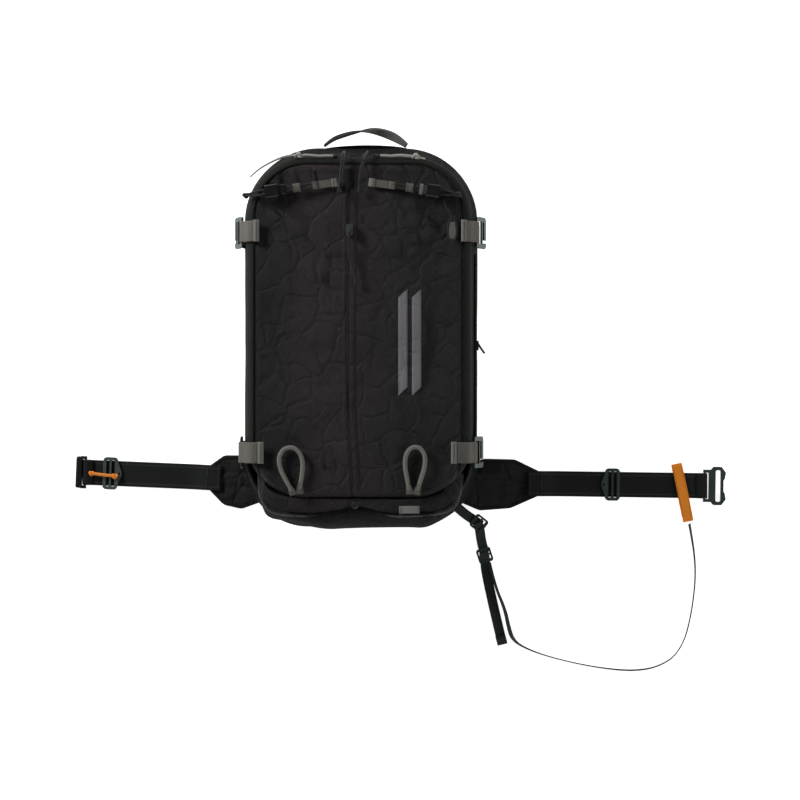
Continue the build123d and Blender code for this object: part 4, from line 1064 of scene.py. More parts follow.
RIM_CORD_ROUTES = {
    "left": [(-151, 424, 176), (-141, 434, 174), (-129, 441.5, 173.5), (-112, 450, 173.5), (-98, 454, 174.5),
             (-84, 453.5, 175.5), (-70, 454.5, 176), (-56, 452.6, 176), (-44, 453.5, 176), (-34, 453, 176)],
    "right": [(24, 453, 176), (34, 454, 176), (44, 452.6, 176), (55, 454, 176), (66, 453, 176), (79, 451.6, 175.5),
              (92, 448.6, 174.5)],
}


def rim_cords():
    """Grey elastic cords tied along the top seam, with their knots and whippings."""
    made = []
    for side, route in RIM_CORD_ROUTES.items():
        radii = [0.55, 0.6, 0.7, 0.8, 1, 1, 1, 1, 1, 1] if side == "left" else [0.8, 1, 1, 1.15, 1.25, 1.15, 1.0]
        made.append(tube_mesh(f"rim_cord_{side}", route, 1.9, M["cord_grey"], "lid", radii=radii))
    ties = (((-84, 454, 176), "left_knot", 4.0), ((79, 452.0, 176), "right_knot", 4.2))
    for place, name, size in ties:
        made.append(knot(f"rim_cord_{name}", place, (1, 0, 0), size, 1.8, M["cord_grey"], "lid"))
    for x, name in ((-33, "left"), (26, "right")):
        made.append(tube_mesh(f"rim_whipping_{name}", [(x - 3, 453, 176), (x, 453, 176), (x + 3, 453, 176)], 2.5,
                              M["cord_black"], "lid"))
    return made


def tool_loop(side):
    """A stiff round loop whose two ends are pressed flat, crossed a little and sewn into the seam."""
    x, lean, radius = {"left": (-86.0, 10.0, 18.5), "right": (75.0, -3.6, 16.5)}[side]
    lean = math.radians(lean)
    body, node = f"tool_loop_{side}", f"tool_loop_{side}"

    def spot(u, v, z):
        return (x + u * math.cos(lean) - v * math.sin(lean), -16 + u * math.sin(lean) + v * math.cos(lean), z)

    wide = radius - 3.0
    route = [spot(u, v, z) for u, v, z in
             ((-5.5, 5, 190.8), (-7, 11, 191.1), (-wide * 0.72, 22, 191.2), (-wide * 1.03, 38, 191.2),
              (-wide * 1.02, 53, 191.2), (-wide * 0.55, 63.5, 191.2), (0, 65.5, 191.2), (wide * 0.55, 63.5, 191.2),
              (wide * 1.02, 53, 191.2), (wide * 1.03, 38, 191.2), (wide * 0.72, 22, 191.2), (7, 11, 191.1),
              (5.5, 5, 190.8))]
    loop = tube_mesh(f"tool_loop_cord_{side}", route, 3.15, M["cord_grey_dark"], body, sides=18,
                     radii=[0.6, 0.9] + [1] * 9 + [0.9, 0.6])
    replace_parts(loop, node)
    for sign in (-1, 1):
        foot = [spot(sign * u, v, z) for u, v, z in ((4.6, -1.0, 189.9), (5.2, 3.5, 190.1), (6.4, 9, 190.9),
                                                     (8.6, 16, 191.6))]
        webbing(f"tool_foot_{side}_{'a' if sign < 0 else 'b'}", foot,
                [(0, 0, 1), (0, 0, 1), (sign * 0.3, 0, 1), (sign * 1.1, 0, 0.8)], 9.4, 2.2, M["web_grey"], body,
                widths=[1.0, 1.05, 0.85, 0.5])
    return loop


def grab_handle():
    route = [(-54, 485.5, 46), (-44, 494.5, 47), (-26, 501.5, 47), (-4, 507, 47), (16, 508.5, 47), (36, 504, 47),
             (54, 496, 47), (67, 486, 47)]
    facing = [(-0.4, 0.8, 0.3), (-0.4, 0.85, 0.4), (-0.3, 0.9, 0.45), (-0.1, 0.9, 0.25), (0, 0.9, -0.25),
              (0.2, 0.8, -0.55), (0.3, 0.75, -0.6), (0.4, 0.7, -0.45)]
    strap = webbing("grab_handle_strap", route, facing, 17.5, 2.6, M["handle"], "grab_handle",
                    back=M["handle_in"], widths=[0.55, 0.9, 1, 1, 1, 1, 0.95, 0.55])
    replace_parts(strap, "grab_handle")
    seam = [(-76, 476, 34), (-54, 482.0, 34), (-20, 485.3, 35), (16, 486.2, 35), (50, 484.6, 34), (68, 481.6, 34),
            (86, 476, 34)]
    tube_mesh("handle_seam_roll", seam, 2.8, M["boot"], "root", sides=14)
    return strap


# ---- Compression straps and their anchors ----

HOOK_X = {"lower_left": 164.5, "lower_right": 161.0, "upper_left": 163.0, "upper_right": 164.0}
INNER_X = {"lower_left": 132.0, "lower_right": 128.0, "upper_left": 138.0, "upper_right": 142.0}
STRAP_Y = {"lower": 41.0, "upper": 348.0}
SIGN = {"left": -1, "right": 1}


def compression_strap(level, side):
    key, sign, y = f"{level}_{side}", SIGN[side], STRAP_Y[level]
    x, inner = HOOK_X[key], INNER_X[key]
    plan = [(inner, 189.9), (inner + 6, 190.2), (146, 189.2), (154, 184.0), (x - 4.5, 176.0), (x + 0.6, 171.2),
            (x + 3.9, 166.5), (x + 1.0, 162.3), (x - 4.2, 165.5), (x - 6.5, 172.5)]
    route = [(sign * u, y + 0.25 * math.sin(k * 1.7), w) for k, (u, w) in enumerate(plan)]
    facing = [(0, 1), (0, 1), (0.2, 1), (0.6, 0.9), (0.75, 0.7), (0.9, 0.5), (1, 0), (0.1, -1),
              (-1, -0.2), (-0.9, -0.5)]
    ups = [(sign * a, 0, b) for a, b in facing]
    strap = webbing(f"compression_web_{key}", route, ups, 29.0, 1.5, M["web_grey"], "lid")
    light = [(sign * u, y, w) for u, w in ((inner - 0.5, 191.1), (inner + 3.5, 191.3), (inner + 7.5, 191.1))]
    patch = webbing(f"compression_end_{key}", light, [(0, 0, 1)] * 3, 30.2, 1.0, M["web_light"], "lid")
    bartack(f"compression_tack_{key}", (sign * (inner + 3.4), y, 192.0), (1, 0), 26, "lid")
    box_ring = []
    for a, b in ((0, -11), (0, 11), (9, 11), (9, -11), (0, -11)):
        box_ring.append((sign * (inner + 10 + a * 0.55), y + b, 191.35 - 0.1 * a))
    line = even(np.array(box_ring, float), 1.0)
    stitches(f"compression_box_{key}", line, np.tile([0, 0, 1.0], (len(line), 1)), M["thread_light"], "lid",
             length=2.0, gap=1.0, radius=0.28)
    if key == "upper_left":
        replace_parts(strap, "compression_straps")
    return strap, patch


def strap_anchor(level, side):
    sign, y = SIGN[side], STRAP_Y[level]
    loose = {"upper_left": 9.0, "lower_left": 3.5, "upper_right": 2.0, "lower_right": 0.5}[f"{level}_{side}"]
    plan = [(169.0, 60), (168.6 + loose * 0.2, 72), (168.6 + loose * 0.7, 84), (168.3 + loose, 98),
            (168.0 + loose, 112), (167.6 + loose * 0.7, 124), (167.2, 133), (165.2, 137), (163.9, 133), (164.5, 124)]
    route = [(sign * u, y, w) for u, w in plan]
    ups = [(sign, 0, 0.1)] * 6 + [(sign, 0, 0.4), (0.1 * sign, 0, 1), (-sign, 0, 0), (-sign, 0, -0.1)]
    web = webbing(f"strap_anchor_web_{level}_{side}", route, ups, 28.0, 1.4, M["web_grey"], "root")
    if (level, side) == ("upper", "left"):
        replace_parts(web, "strap_anchors")
    return web


# ---- Padded pieces ----

def hull_ring(circles, step=4.0):
    """The convex outline round some circles (x, y, radius), as an even ring of points."""
    points = []
    for x, y, r in circles:
        for k in range(48):
            points.append((x + r * math.cos(k * math.pi / 24), y + r * math.sin(k * math.pi / 24)))
    points = sorted(set(points))
    chains = []
    for run in (points, points[::-1]):
        chain = []
        for p in run:
            while len(chain) > 1 and ((chain[-1][0] - chain[-2][0]) * (p[1] - chain[-2][1])
                                      - (chain[-1][1] - chain[-2][1]) * (p[0] - chain[-2][0])) <= 0:
                chain.pop()
            chain.append(p)
        chains += chain[:-1]
    ring = np.array(chains + chains[:1])
    return even(ring, step)[:-1]


def seam_distance(points, seams):
    """Distance in plan from each point to the nearest seam line."""
    best = np.full(len(points), 1e9)
    for seam in seams:
        for a, b in zip(seam[:-1], seam[1:]):
            a, b = np.array(a, float), np.array(b, float)
            line = b - a
            share = np.clip(((points[:, :2] - a) @ line) / (line @ line), 0, 1)
            best = np.minimum(best, np.linalg.norm(points[:, :2] - a - share[:, None] * line, axis=1))
    return best


def stuffed(name, ring, low, high, material, seams=(), cap=6.0, voxel=5.0, floor=0.3, pressure=4.0):
    """A pad cut from the ring, filled with foam: remeshed, held along its seams and blown up as cloth."""
    count = len(ring)
    points = [(x, y, z(x, y) if callable(z) else z) for z in (low, high) for x, y in ring]
    faces = [tuple(range(count))[::-1], tuple(range(count, 2 * count))]
    faces += [(k, (k + 1) % count, count + (k + 1) % count, count + k) for k in range(count)]
    pad = mesh_piece(name, points, faces, material, None)
    remesh = pad.modifiers.new("even", "REMESH")
    remesh.mode = "VOXEL"
    remesh.voxel_size = voxel * MM
    settle(pad)
    start = np.array([v.co for v in pad.data.vertices]) / MM
    group = pad.vertex_groups.new(name="held")
    held = seam_distance(start, seams) < voxel * 0.7 if seams else np.zeros(len(start), bool)
    edge = seam_distance(start, [np.concatenate([ring, ring[:1]])]) < voxel * 0.8
    group.add([int(i) for i in np.flatnonzero(held | edge)], 1.0, "REPLACE")
    cloth = pad.modifiers.new("cloth", "CLOTH")
    cloth.settings.quality = 4
    cloth.settings.use_pressure = True
    cloth.settings.uniform_pressure_force = pressure
    cloth.settings.shrink_min = -0.02
    cloth.settings.vertex_group_mass = "held"
    cloth.settings.effector_weights.gravity = 0
    cloth.point_cache.frame_start, cloth.point_cache.frame_end = 1, 20
    for frame_number in range(1, 21):
        bpy.context.scene.frame_set(frame_number)
    settle(pad)
    bpy.context.scene.frame_set(1)
    now = np.array([v.co for v in pad.data.vertices]) / MM
    move = now - start
    reach = np.linalg.norm(move, axis=1)
    now = start + move * np.minimum(1, cap / np.maximum(reach, 1e-6))[:, None]
    normals = np.array([v.normal for v in pad.data.vertices])
    if seams:
        groove = np.exp(-(seam_distance(now, seams) / 3.2) ** 2)
        now -= normals * (groove * 1.8)[:, None]
    now += normals * (0.5 * cloth_noise(now, 26, 3))[:, None]
    now[:, 2] = np.maximum(now[:, 2], floor)
    pad.data.vertices.foreach_set("co", (now * MM).ravel())
    pad.data.update()
    smooth_mesh = pad.modifiers.new("smooth", "SUBSURF")
    smooth_mesh.levels = smooth_mesh.render_levels = 1
    settle(pad)
    pad.data.shade_smooth()
    return pad


def settle(piece):
    """Applies the piece's modifiers."""
    evaluated = piece.evaluated_get(bpy.context.evaluated_depsgraph_get())
    mesh = bpy.data.meshes.new_from_object(evaluated)
    old = piece.data
    piece.modifiers.clear()
    piece.data = mesh
    bpy.data.meshes.remove(old)


def edge_tape(name, ring, z, material, width=3.4, thick=9.0):
    """Binding tape folded over a pad's edge; z gives its middle height at a point."""
    ring = np.asarray(ring, float)
    tangent = np.roll(ring, -1, axis=0) - np.roll(ring, 1, axis=0)
    tangent /= np.linalg.norm(tangent, axis=1)[:, None]
    inward = np.stack([-tangent[:, 1], tangent[:, 0]], axis=1)
    along = arc_lengths(ring)
    points, uv = [], []
    section = [(width, 0.5), (width * 0.8, 0.56), (0.4, 0.48), (-0.6, 0.25), (-0.8, 0), (-0.6, -0.25), (0.4, -0.48),
               (width * 0.8, -0.56), (width, -0.5)]
    for i, (x, y) in enumerate(ring):
        middle = z(x, y) if callable(z) else z
        tall = thick(x, y) if callable(thick) else thick
        for k, (depth, rise) in enumerate(section):
            points.append((x + inward[i, 0] * depth, y + inward[i, 1] * depth, max(0.25, middle + rise * tall)))
            uv.append((along[i], k * 1.6))
    n, m = len(ring), len(section)
    faces = [(i * m + k, i * m + k + 1, ((i + 1) % n) * m + k + 1, ((i + 1) % n) * m + k)
             for i in range(n) for k in range(m - 1)]
    return mesh_piece(name, points, faces, material, None, uv)


BELT = {
    "left": {"tip": 232.0, "pin": 411.5, "y": -3.0, "slope": 2.4, "high": 31.0, "low": -47.0},
    "right": {"tip": 270.0, "pin": 510.0, "y": -9.1, "slope": -0.8, "high": 26.0, "low": -50.0},
}
HINGE_X = 184.0


def belt_point(side, u, v, z):
    """A point of the hip belt: u outwards from the hinge line, v up the pack."""
    belt, turn = BELT[side], math.radians(BELT[side]["slope"])
    x = HINGE_X + u * math.cos(turn) - v * math.sin(turn)
    return (SIGN[side] * x, belt["y"] + u * math.sin(turn) + v * math.cos(turn), z)


def across_hinge(piece):
    """Bakes the piece's placement into its mesh."""
    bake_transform(piece)
    return piece


def wing_plan(side):
    """The pad's outline: wide where it comes from under the pack, rounded and narrow at its tip."""
    belt = BELT[side]
    length = belt["tip"] - HINGE_X
    high, low = belt["high"] - belt["y"], belt["low"] - belt["y"]
    corner = 13
    circles = [(-44, high - 10 - corner, corner), (-44, low + 16 + corner, corner),
               (length * 0.62 - corner, high - corner - 0.5, corner), (length - 12, 8, 11),
               (length - 12, -8, 11), (length * 0.55 - corner, low + corner + 4, corner),
               (-6, low + corner + 0.5, corner), (0, high - corner, corner)]
    plan = hull_ring(circles, 3.5)
    ring = np.array([belt_point(side, u, v, 0)[:2] for u, v in plan])
    return ring if side == "right" else ring[::-1]


def hip_wing(side):
    belt = BELT[side]
    length = belt["tip"] - HINGE_X
    ring = wing_plan(side)

    def high(x, y):
        return 11.0 - 4.4 * float(smooth(0, length, abs(x) - HINGE_X))

    seams = [[belt_point(side, u, v, 0)[:2] for u, v in ((-40, 9), (length * 0.6, 9), (length - 12, 6))],
             [belt_point(side, u, v, 0)[:2] for u, v in ((-40, -12), (length * 0.6, -12), (length - 12, -9))]]
    pad = stuffed(f"hip_wing_pad_{side}", ring, 1.2, high, M["pad"], seams, cap=5, voxel=4.5)
    tape = edge_tape(f"hip_wing_tape_{side}", ring, lambda x, y: high(x, y) / 2 + 0.4, M["tape"], 4.0,
                     lambda x, y: high(x, y) * 0.98)
    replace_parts(pad, f"hip_wing_{side}")
    for piece in (pad, tape):
        across_hinge(piece)
    return pad


def belt_web(side):
    """The belt's webbing, from under a sewn patch on the wing, over its tip and round the buckle's bar."""
    belt = BELT[side]
    tip, pin = belt["tip"] - HINGE_X, belt["pin"] - HINGE_X
    plan = [(tip - 24, 11.2), (tip - 12, 10.6), (tip - 1, 9.4), (tip + 7, 6.6), (tip + 20, 2.9), (tip + 40, 2.5),
            (pin - 60, 2.5), (pin - 24, 2.5), (pin - 5, 2.0), (pin + 3.6, 2.2), (pin + 3.8, 6.4), (pin - 2, 8.0),
            (pin - 6, 6.0), (pin - 9, 4.8), (pin - 12, 4.4)]
    route = [belt_point(side, u, 0, z) for u, z in plan]
    sign = SIGN[side]
    ups = [(0, 0, 1)] * 8 + [(0, 0, 1), (-0.7 * sign, 0, 0.6), (-0.8 * sign, 0, -0.6), (0, 0, -1)] + [(0, 0, -1)] * 3
    web = webbing(f"belt_web_{side}", route, ups, 37.6, 1.5, M["web_belt"], f"wing_{side}", step=3.0)
    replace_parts(web, f"belt_webbing_{side}")
    heading = math.radians(belt["slope"]) * sign
    for u, z in ((tip - 20, 12.2), (tip - 3, 10.8)):
        spot = belt_point(side, u, 0, z)
        bartack(f"belt_tack_{side}_{int(u)}", spot, (math.cos(heading), math.sin(heading)), 32, f"wing_{side}",
                M["thread_dark"])
    return web


def lanyard():
    """The buckle's orange pull cord, from its knot over the glide to the bar."""
    local = [(184, -3.8, 9.4), (190, -3.3, 9.7), (198, -2.7, 10), (208, -1.8, 10.4), (217, -0.9, 10.8)]
    route = [belt_point("left", *p) for p in local]
    cord = cord_curve("buckle_lanyard_cord", route, 2.3, M["cord_orange"], "wing_left")
    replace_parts(cord, "buckle_lanyard")
    line = nurbs_line(route)
    start = knot("lanyard_knot_start", line[0] + [1.5, 0, 0], (-1, 0.05, 0), 3.0, 1.9, M["cord_orange"], "wing_left")
    end = knot("lanyard_knot_end", line[-1], (-1, 0.05, 0), 2.6, 1.8, M["cord_orange"], "wing_left")


LEG_ROUTE = [
    (190, -127), (198, -162), (213, -197), (218, -222), (224, -242), (241, -254), (276, -267), (330, -280),
    (378, -287), (410, -288), (438, -283), (464, -269), (480, -243), (488, -212), (493, -182), (496, -150),
    (495, -120), (491, -92), (487, -70),
]


def leg_strap():
    """The long leg strap, standing on its edge from the lower buckle round to the orange sleeve."""
    route = [(x, y, 7.9) for x, y in LEG_ROUTE]
    lean = 6.6
    ups = [(y2 - y1, x1 - x2, lean) for (x1, y1), (x2, y2) in zip(LEG_ROUTE, LEG_ROUTE[1:] + [(485, -50)])]
    strap = webbing("leg_strap_web", route, ups, 14.6, 1.5, M["web_thin"], None, step=3.0)
    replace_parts(strap, "leg_strap")
    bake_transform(strap)


def leg_webs():
    """The flat straps of the leg loop: bag to upper buckle, the link, and the loose tail."""
    runs = {
        "anchor": [(138, -42, 3.2), (152, -54.5, 2.2), (163, -62, 2.0), (172, -68, 3.4), (177.5, -72, 5.6)],
        "link": [(172.5, -68, 6.6), (175.5, -76, 3.0), (177.5, -92, 1.7), (180, -104, 2.4), (183, -113, 5.6)],
        "tail": [(181.5, -112, 7.0), (184, -122, 4.6), (184, -136, 1.7), (191.5, -172, 1.6), (201, -214, 1.8),
                 (209.5, -249, 1.6)],
    }
    made = []
    for name, route in runs.items():
        widths = [1.0] * len(route)
        made.append(webbing(f"leg_web_{name}", route, [(0, 0, 1)] * len(route), 14.6, 1.6, M["web_thin"], "root",
                            widths=widths))
    fold = webbing("leg_tail_fold", [(206, -236, 3.4), (208.2, -244, 3.5), (209.7, -250, 3.2)], [(0, 0, 1)] * 3, 15.2,
                   1.5, M["web_thin"], "root")
    bartack("leg_tail_tack", (207.8, -243, 4.5), (0.25, -1), 12, "root")
    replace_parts(made[0], "leg_webbing")
    return made + [fold]


def loop_sleeve():
    """The orange sleeve round the belt: over the top, round both ends and back beneath."""
    a, b = np.array([486.0, -66.0]), np.array([468.5, 18.5])
    d = (b - a) / np.linalg.norm(b - a)

    def spot(u, z):
        return (*(a + d * u), z)

    length = np.linalg.norm(b - a)
    route = [spot(6, 0.9), spot(length - 6, 0.9), spot(length, 1.2), spot(length + 0.8, 3.6), spot(length - 1, 6.4),
             spot(length - 10, 7.2), spot(length * 0.5, 7.3), spot(14, 6.9), spot(2, 5.6), spot(-1.5, 3.4),
             spot(0, 1.6), spot(4, 1.0)]
    ups = [(0, 0, -1), (0, 0, -1), (*(d * 0.7), -0.7), (*d, 0), (*(d * 0.7), 0.7), (0, 0, 1), (0, 0, 1), (0, 0, 1),
           (*(-d * 0.5), 0.8), (*-d, 0), (*(-d * 0.7), -0.7), (0, 0, -1)]
    sleeve = webbing("leg_sleeve_cloth", route, ups, 15.4, 1.0, M["orange_web"], "wing_right")
    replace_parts(sleeve, "leg_loop_sleeve")
    for side in (-1, 1):
        n = np.array([-d[1], d[0]]) * side * 6.2
        row = even(np.array([(*(a + d * u + n), 8.0) for u in (6, length - 6)]), 2)
        stitches(f"sleeve_stitches_{'a' if side < 0 else 'b'}", row, np.tile([0, 0, 1.0], (len(row), 1)),
                 M["thread_orange"], "wing_right", length=2.2, gap=1.0, radius=0.3)
    return sleeve


# ---- Small things on the shell and the lid ----

def print_bars():
    """Two plain raised bars, in the place of a printed mark."""
    for x, name in ((61, "a"), (80, "b")):
        rows = []
        y = np.linspace(126, 262, 90)
        for share, lift in ((-1, -0.2), (-0.97, 0.55), (-0.5, 0.6), (0, 0.6), (0.5, 0.6), (0.97, 0.55), (1, -0.2)):
            slant = 6.0 * share
            rows.append(on_panel(np.full_like(y, x) + share * 6.5, y + slant, lift))
        mesh_piece(f"plain_bar_{name}", np.concatenate(rows), grid_faces(len(rows), len(y)), M["print"], "lid")


def garage():
    """The cloth garage over the top end of the front zip, and a row of stitches along the top seam."""
    y = np.linspace(404, 434, 40)
    rows = []
    for offset, lift in ((-5.5, 0.0), (-5.0, 1.2), (-3, 1.9), (0, 2.1), (3, 1.9), (5.0, 1.2), (5.5, 0.0)):
        rows.append(on_panel(ZIP_X - 1.5 + offset + 0 * y, y, lift))
    cover = mesh_piece("zip_garage", np.concatenate(rows), grid_faces(len(rows), len(y)), M["tag"], "lid",
                       [(v, k * 2.5) for k in range(len(rows)) for v in y])
    thicken(cover, 0.8)
    line = even(np.array([(-30, 410.5, 0), (60, 410.5, 0)], float), 1.5)
    seam = on_panel(line[:, 0], line[:, 1], 0.5)
    stitches("top_seam_stitches", seam, np.tile([0, 0, 1.0], (len(seam), 1)), M["thread_dark"], "lid",
             radius=0.28)


def rivet():
    """The press stud on the lip, and the grey pull tab beside it."""
    rings = ((0.2, 1.9), (2.2, 1.9), (3.0, 1.2), (3.7, 2.0), (4.6, 2.2), (5.3, 1.4), (5.5, -0.6))
    points, faces = [], []
    x, y, z = -5.5, -31.5, 179.2
    for radius, lift in rings:
        for k in range(28):
            turn = 2 * math.pi * k / 28
            points.append((x + radius * math.cos(turn), y + radius * math.sin(turn), z + lift))
    faces = grid_faces(len(rings), 28, close_columns=True) + [tuple(range(28))]
    mesh_piece("lip_press_stud", points, [f[::-1] for f in faces], M["black"], "root")
    route = [(56, -38.5, 179.4), (62, -38.3, 180.3), (74, -38.2, 180.3), (84, -38.2, 179.2)]
    webbing("lip_tab", route, [(0, 0, 1)] * 4, 10.5, 1.4, M["web_light"], "root")
    for u in (57.5, 82.5):
        bartack(f"lip_tab_tack_{int(u)}", (u, -38.3, 181.4), (1, 0), 8.5, "root")


def corner_tacks():
    """Light bar tacks where the lid's zip ends on each side."""
    bartack("corner_tack_left", (-136.5, 12, 169.5), (1, 0.2), 5, "root")
    bartack("corner_tack_right", (131, 10, 171.0), (1, 0.6), 9, "root")


def side_zip():
    """The side pocket's zip on the right wall: its tape and coil."""
    y = np.linspace(60, 322, 180)
    z = 100 + 0 * y
    x = np.full_like(y, 164.2)
    rows = []
    for rise, out in ((-9, -0.8), (-8, 0.9), (-3, 1.4), (-2, 0.7), (2, 0.7), (3, 1.4), (8, 0.9), (9, -0.8)):
        rows.append(np.stack([x + out, y, z + rise], axis=1))
    uv = [(v, k * 2.2) for k in range(len(rows)) for v in y]
    tape = mesh_piece("side_zip_tape", np.concatenate(rows), [f[::-1] for f in grid_faces(len(rows), len(y))],
                      M["tape_zip"], "root", uv)
    thicken(tape, 0.6)
    centre = np.stack([x + 0.9, y, z], axis=1)
    up = np.tile([1.0, 0, 0], (len(y), 1))
    across = np.tile([0, 0, -1.0], (len(y), 1))
    coil_mesh("side_zip_coil", centre, across, up, M["coil"], "root", half=1.9)


def wing_tag():
    """A blank sewn tag on the right hip pad."""
    route = [belt_point("right", u, 21, z) for u, z in ((-8, 11.9), (0, 12.3), (12, 12.2), (24, 11.6))]
    tag = webbing("hip_tag", route, [(0, 0, 1)] * 4, 15, 0.8, M["tag"], None)
    across_hinge(tag)


# ---- The back of the pack ----

def round_ring(half, low, high, radii, step=5.0):
    places, _ = outline((-half, low), (half, high), radii, 60, 30)
    return even(np.concatenate([places, places[:1]]), step)[:-1]


def back_pads():
    """The back panel with its three foam pads, and the lumbar pad below them."""
    ring = round_ring(156, -60, 471, (84, 84, 100, 100), 6)
    seams = [[(-52, -40), (-52, 440)], [(52, -40), (52, 440)], [(-52, 120), (52, 120)], [(-52, 260), (52, 260)],
             [(-140, 60), (-52, 60)], [(52, 60), (140, 60)]]
    back = stuffed("back_panel_pad", ring, 15.5, 29.2, M["mesh"], seams, cap=3.0, voxel=6.0, floor=14.4)
    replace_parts(back, "back_panel")
    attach(back, "root")
    edge = edge_tape("back_panel_tape", ring, 22.5, M["tape"], 5.0, 14.0)
    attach(edge, "root")
    ring = round_ring(91, -45, 45, (26, 26, 26, 26), 4)
    lumbar = stuffed("lumbar_pad_cushion", ring, 0.8, 13.8, M["mesh"],
                     [[(0, -40), (0, 40)], [(-70, 0), (-8, 0)], [(8, 0), (70, 0)]], cap=4.0, voxel=4.5, floor=0.0)
    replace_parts(lumbar, "lumbar_pad")
    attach(lumbar, "root")
    return back


def shoulder_pad(side):
    sign = SIGN[side]
    turn = [(sign * 66, 412), (sign * 92, 300), (sign * 84, 150)]
    ring = joined_ring(turn, 29.0)
    seam = [[(turn[0][0], turn[0][1]), (turn[1][0], turn[1][1]), (turn[2][0], turn[2][1])]]
    low = 0.8
    pad = stuffed(f"shoulder_pad_{side}", ring, low, 12.4, M["mesh"], seam if side == "right" else (),
                  cap=3.0, voxel=4.5, floor=0.2)
    if side == "left":
        co = np.array([v.co for v in pad.data.vertices]) / MM
        pocket = (np.abs(co[:, 0] + 88) < 15) & (co[:, 1] > 150) & (co[:, 1] < 270)
        channel = (np.abs(co[:, 0] + 80) < 5) & (co[:, 1] > 260) & (co[:, 1] < 430)
        co[pocket, 2] = np.maximum(co[pocket, 2], 10.3)
        co[channel, 2] = np.maximum(co[channel, 2], 8.6)
        pad.data.vertices.foreach_set("co", (co * MM).ravel())
        pad.data.update()
    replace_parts(pad, f"shoulder_strap_{side}")
    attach(pad, "root")
    tape = edge_tape(f"shoulder_tape_{side}", ring, 6.5, M["tape"], 4.0, 11.5)
    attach(tape, "root")
    return pad


def joined_ring(route, half):
    """The outline of a band of the given half width that bends along a route, with round ends."""
    line = even(nurbs_line([(x, y, 0) for x, y in route]), 5.0)[:, :2]
    tangent = np.gradient(line, axis=0)
    tangent /= np.linalg.norm(tangent, axis=1)[:, None]
    normal = np.stack([-tangent[:, 1], tangent[:, 0]], axis=1)
    left, right = line + normal * half, line - normal * half
    caps = []
    for centre, direction in ((line[-1], tangent[-1]), (line[0], -tangent[0])):
        start = math.atan2(direction[1], direction[0])
        turns = start + np.linspace(-math.pi / 2, math.pi / 2, 18)[1:-1]
        caps.append(centre + half * np.stack([np.cos(turns), np.sin(turns)], axis=1))
    return np.concatenate([right, caps[0], left[::-1], caps[1]])


def harness():
    """Load lifters, lower adjusters and the sternum strap's two webs."""
    made = []
    for side, sign in SIGN.items():
        made.append(webbing(f"load_lifter_{side}", [(sign * 66, 436, 3.8), (sign * 66, 446, 5.6), (sign * 66, 458, 6.4),
                                                    (sign * 66, 468, 8.0), (sign * 66, 474, 14.5)],
                            [(0, 0, 1)] * 4 + [(0, -1, 0.5)], 19.5, 1.6, M["web_black"], "root"))
        made.append(webbing(f"lower_web_{side}", [(sign * 84, 126, 4.2), (sign * 84, 116, 5.4), (sign * 84, 88, 6.0),
                                                  (sign * 84, 60, 7.0), (sign * 84, 50, 11.5)],
                            [(0, 0, 1)] * 4 + [(0, 1, 0.5)], 19.5, 1.6, M["web_black"], "root"))
    made.append(webbing("sternum_web_left", [(-64, 300, 5.8), (-50, 300, 6.2), (-36, 300, 6.2), (-22, 300, 6.0)],
                        [(0, 0, 1)] * 4, 19.4, 1.6, M["web_black"], "root"))
    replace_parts(made[0], "harness_webbing")
    right = webbing("sternum_web_right", [(22, 300, 6.0), (36, 300, 6.2), (50, 300, 6.2), (66, 300, 5.8)],
                    [(0, 0, 1)] * 4, 19.4, 1.6, M["web_black"], "root")
    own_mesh(right)
    return made


def trigger_cable():
    route = [(-80, 270.5, 5), (-80, 360, 5), (-79.5, 425, 6), (-80.5, 425, 43), (-112, 385, 44), (-113, 310, 44),
             (-108, 240, 45), (-106, 170.5, 45)]
    cable = cord_curve("trigger_cable_line", route, 2.1, M["cord_black"], "root")
    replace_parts(cable, "trigger_cable")


def folded_airbag():
    """The airbag, folded in a zigzag and pressed flat against the back."""
    points, faces = [], []
    count, layers = 96, 46
    for i in range(layers):
        level = i / (layers - 1)
        fold = abs(math.sin(level * math.pi * 6))
        places, _ = outline((-127, 353), (127, 437), (22, 22, 60, 60), 22, 12)
        places = even(np.concatenate([places, places[:1]]), 1.0)
        pick = np.linspace(0, len(places) - 1, count, endpoint=False).astype(int)
        ring = places[pick]
        centre = ring.mean(axis=0)
        cap = 1 - 0.5 * max(0.0, (level - 0.9) / 0.1) ** 2 - 0.4 * max(0.0, (0.06 - level) / 0.06) ** 2
        pull = (1 - fold) * 6.5
        for k, (x, y) in enumerate(ring):
            wave = noise.noise(Vector((x / 30, y / 30, level * 6))) * 3.0
            out = np.array([x, y]) - centre
            reach = np.linalg.norm(out)
            spot = centre + out / reach * (reach * cap - pull - abs(wave))
            points.append((spot[0], spot[1], 54 + 90 * level + 0.8 * noise.noise(Vector((x / 18, y / 18, level)))))
    faces = grid_faces(layers, count, close_columns=True)
    faces += [tuple(range(count))[::-1], tuple((layers - 1) * count + k for k in range(count))]
    bag = mesh_piece("folded_airbag_cloth", points, faces, M["nylon"], "root")
    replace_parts(bag, "folded_airbag")
    for x in (-60, 60):
        tie = [(x, 350, 60), (x, 350, 140), (x, 360, 147), (x, 430, 147), (x, 440, 140), (x, 440, 60)]
        webbing(f"airbag_tie_{'a' if x < 0 else 'b'}", tie, [(0, -1, 0), (0, -0.8, 0.4), (0, 0, 1), (0, 0, 1),
                                                            (0, 0.8, 0.4), (0, 1, 0)], 18, 1.4, M["web_black"], "root")


# ---- Materials for the shapes that come from the CAD as they are ----

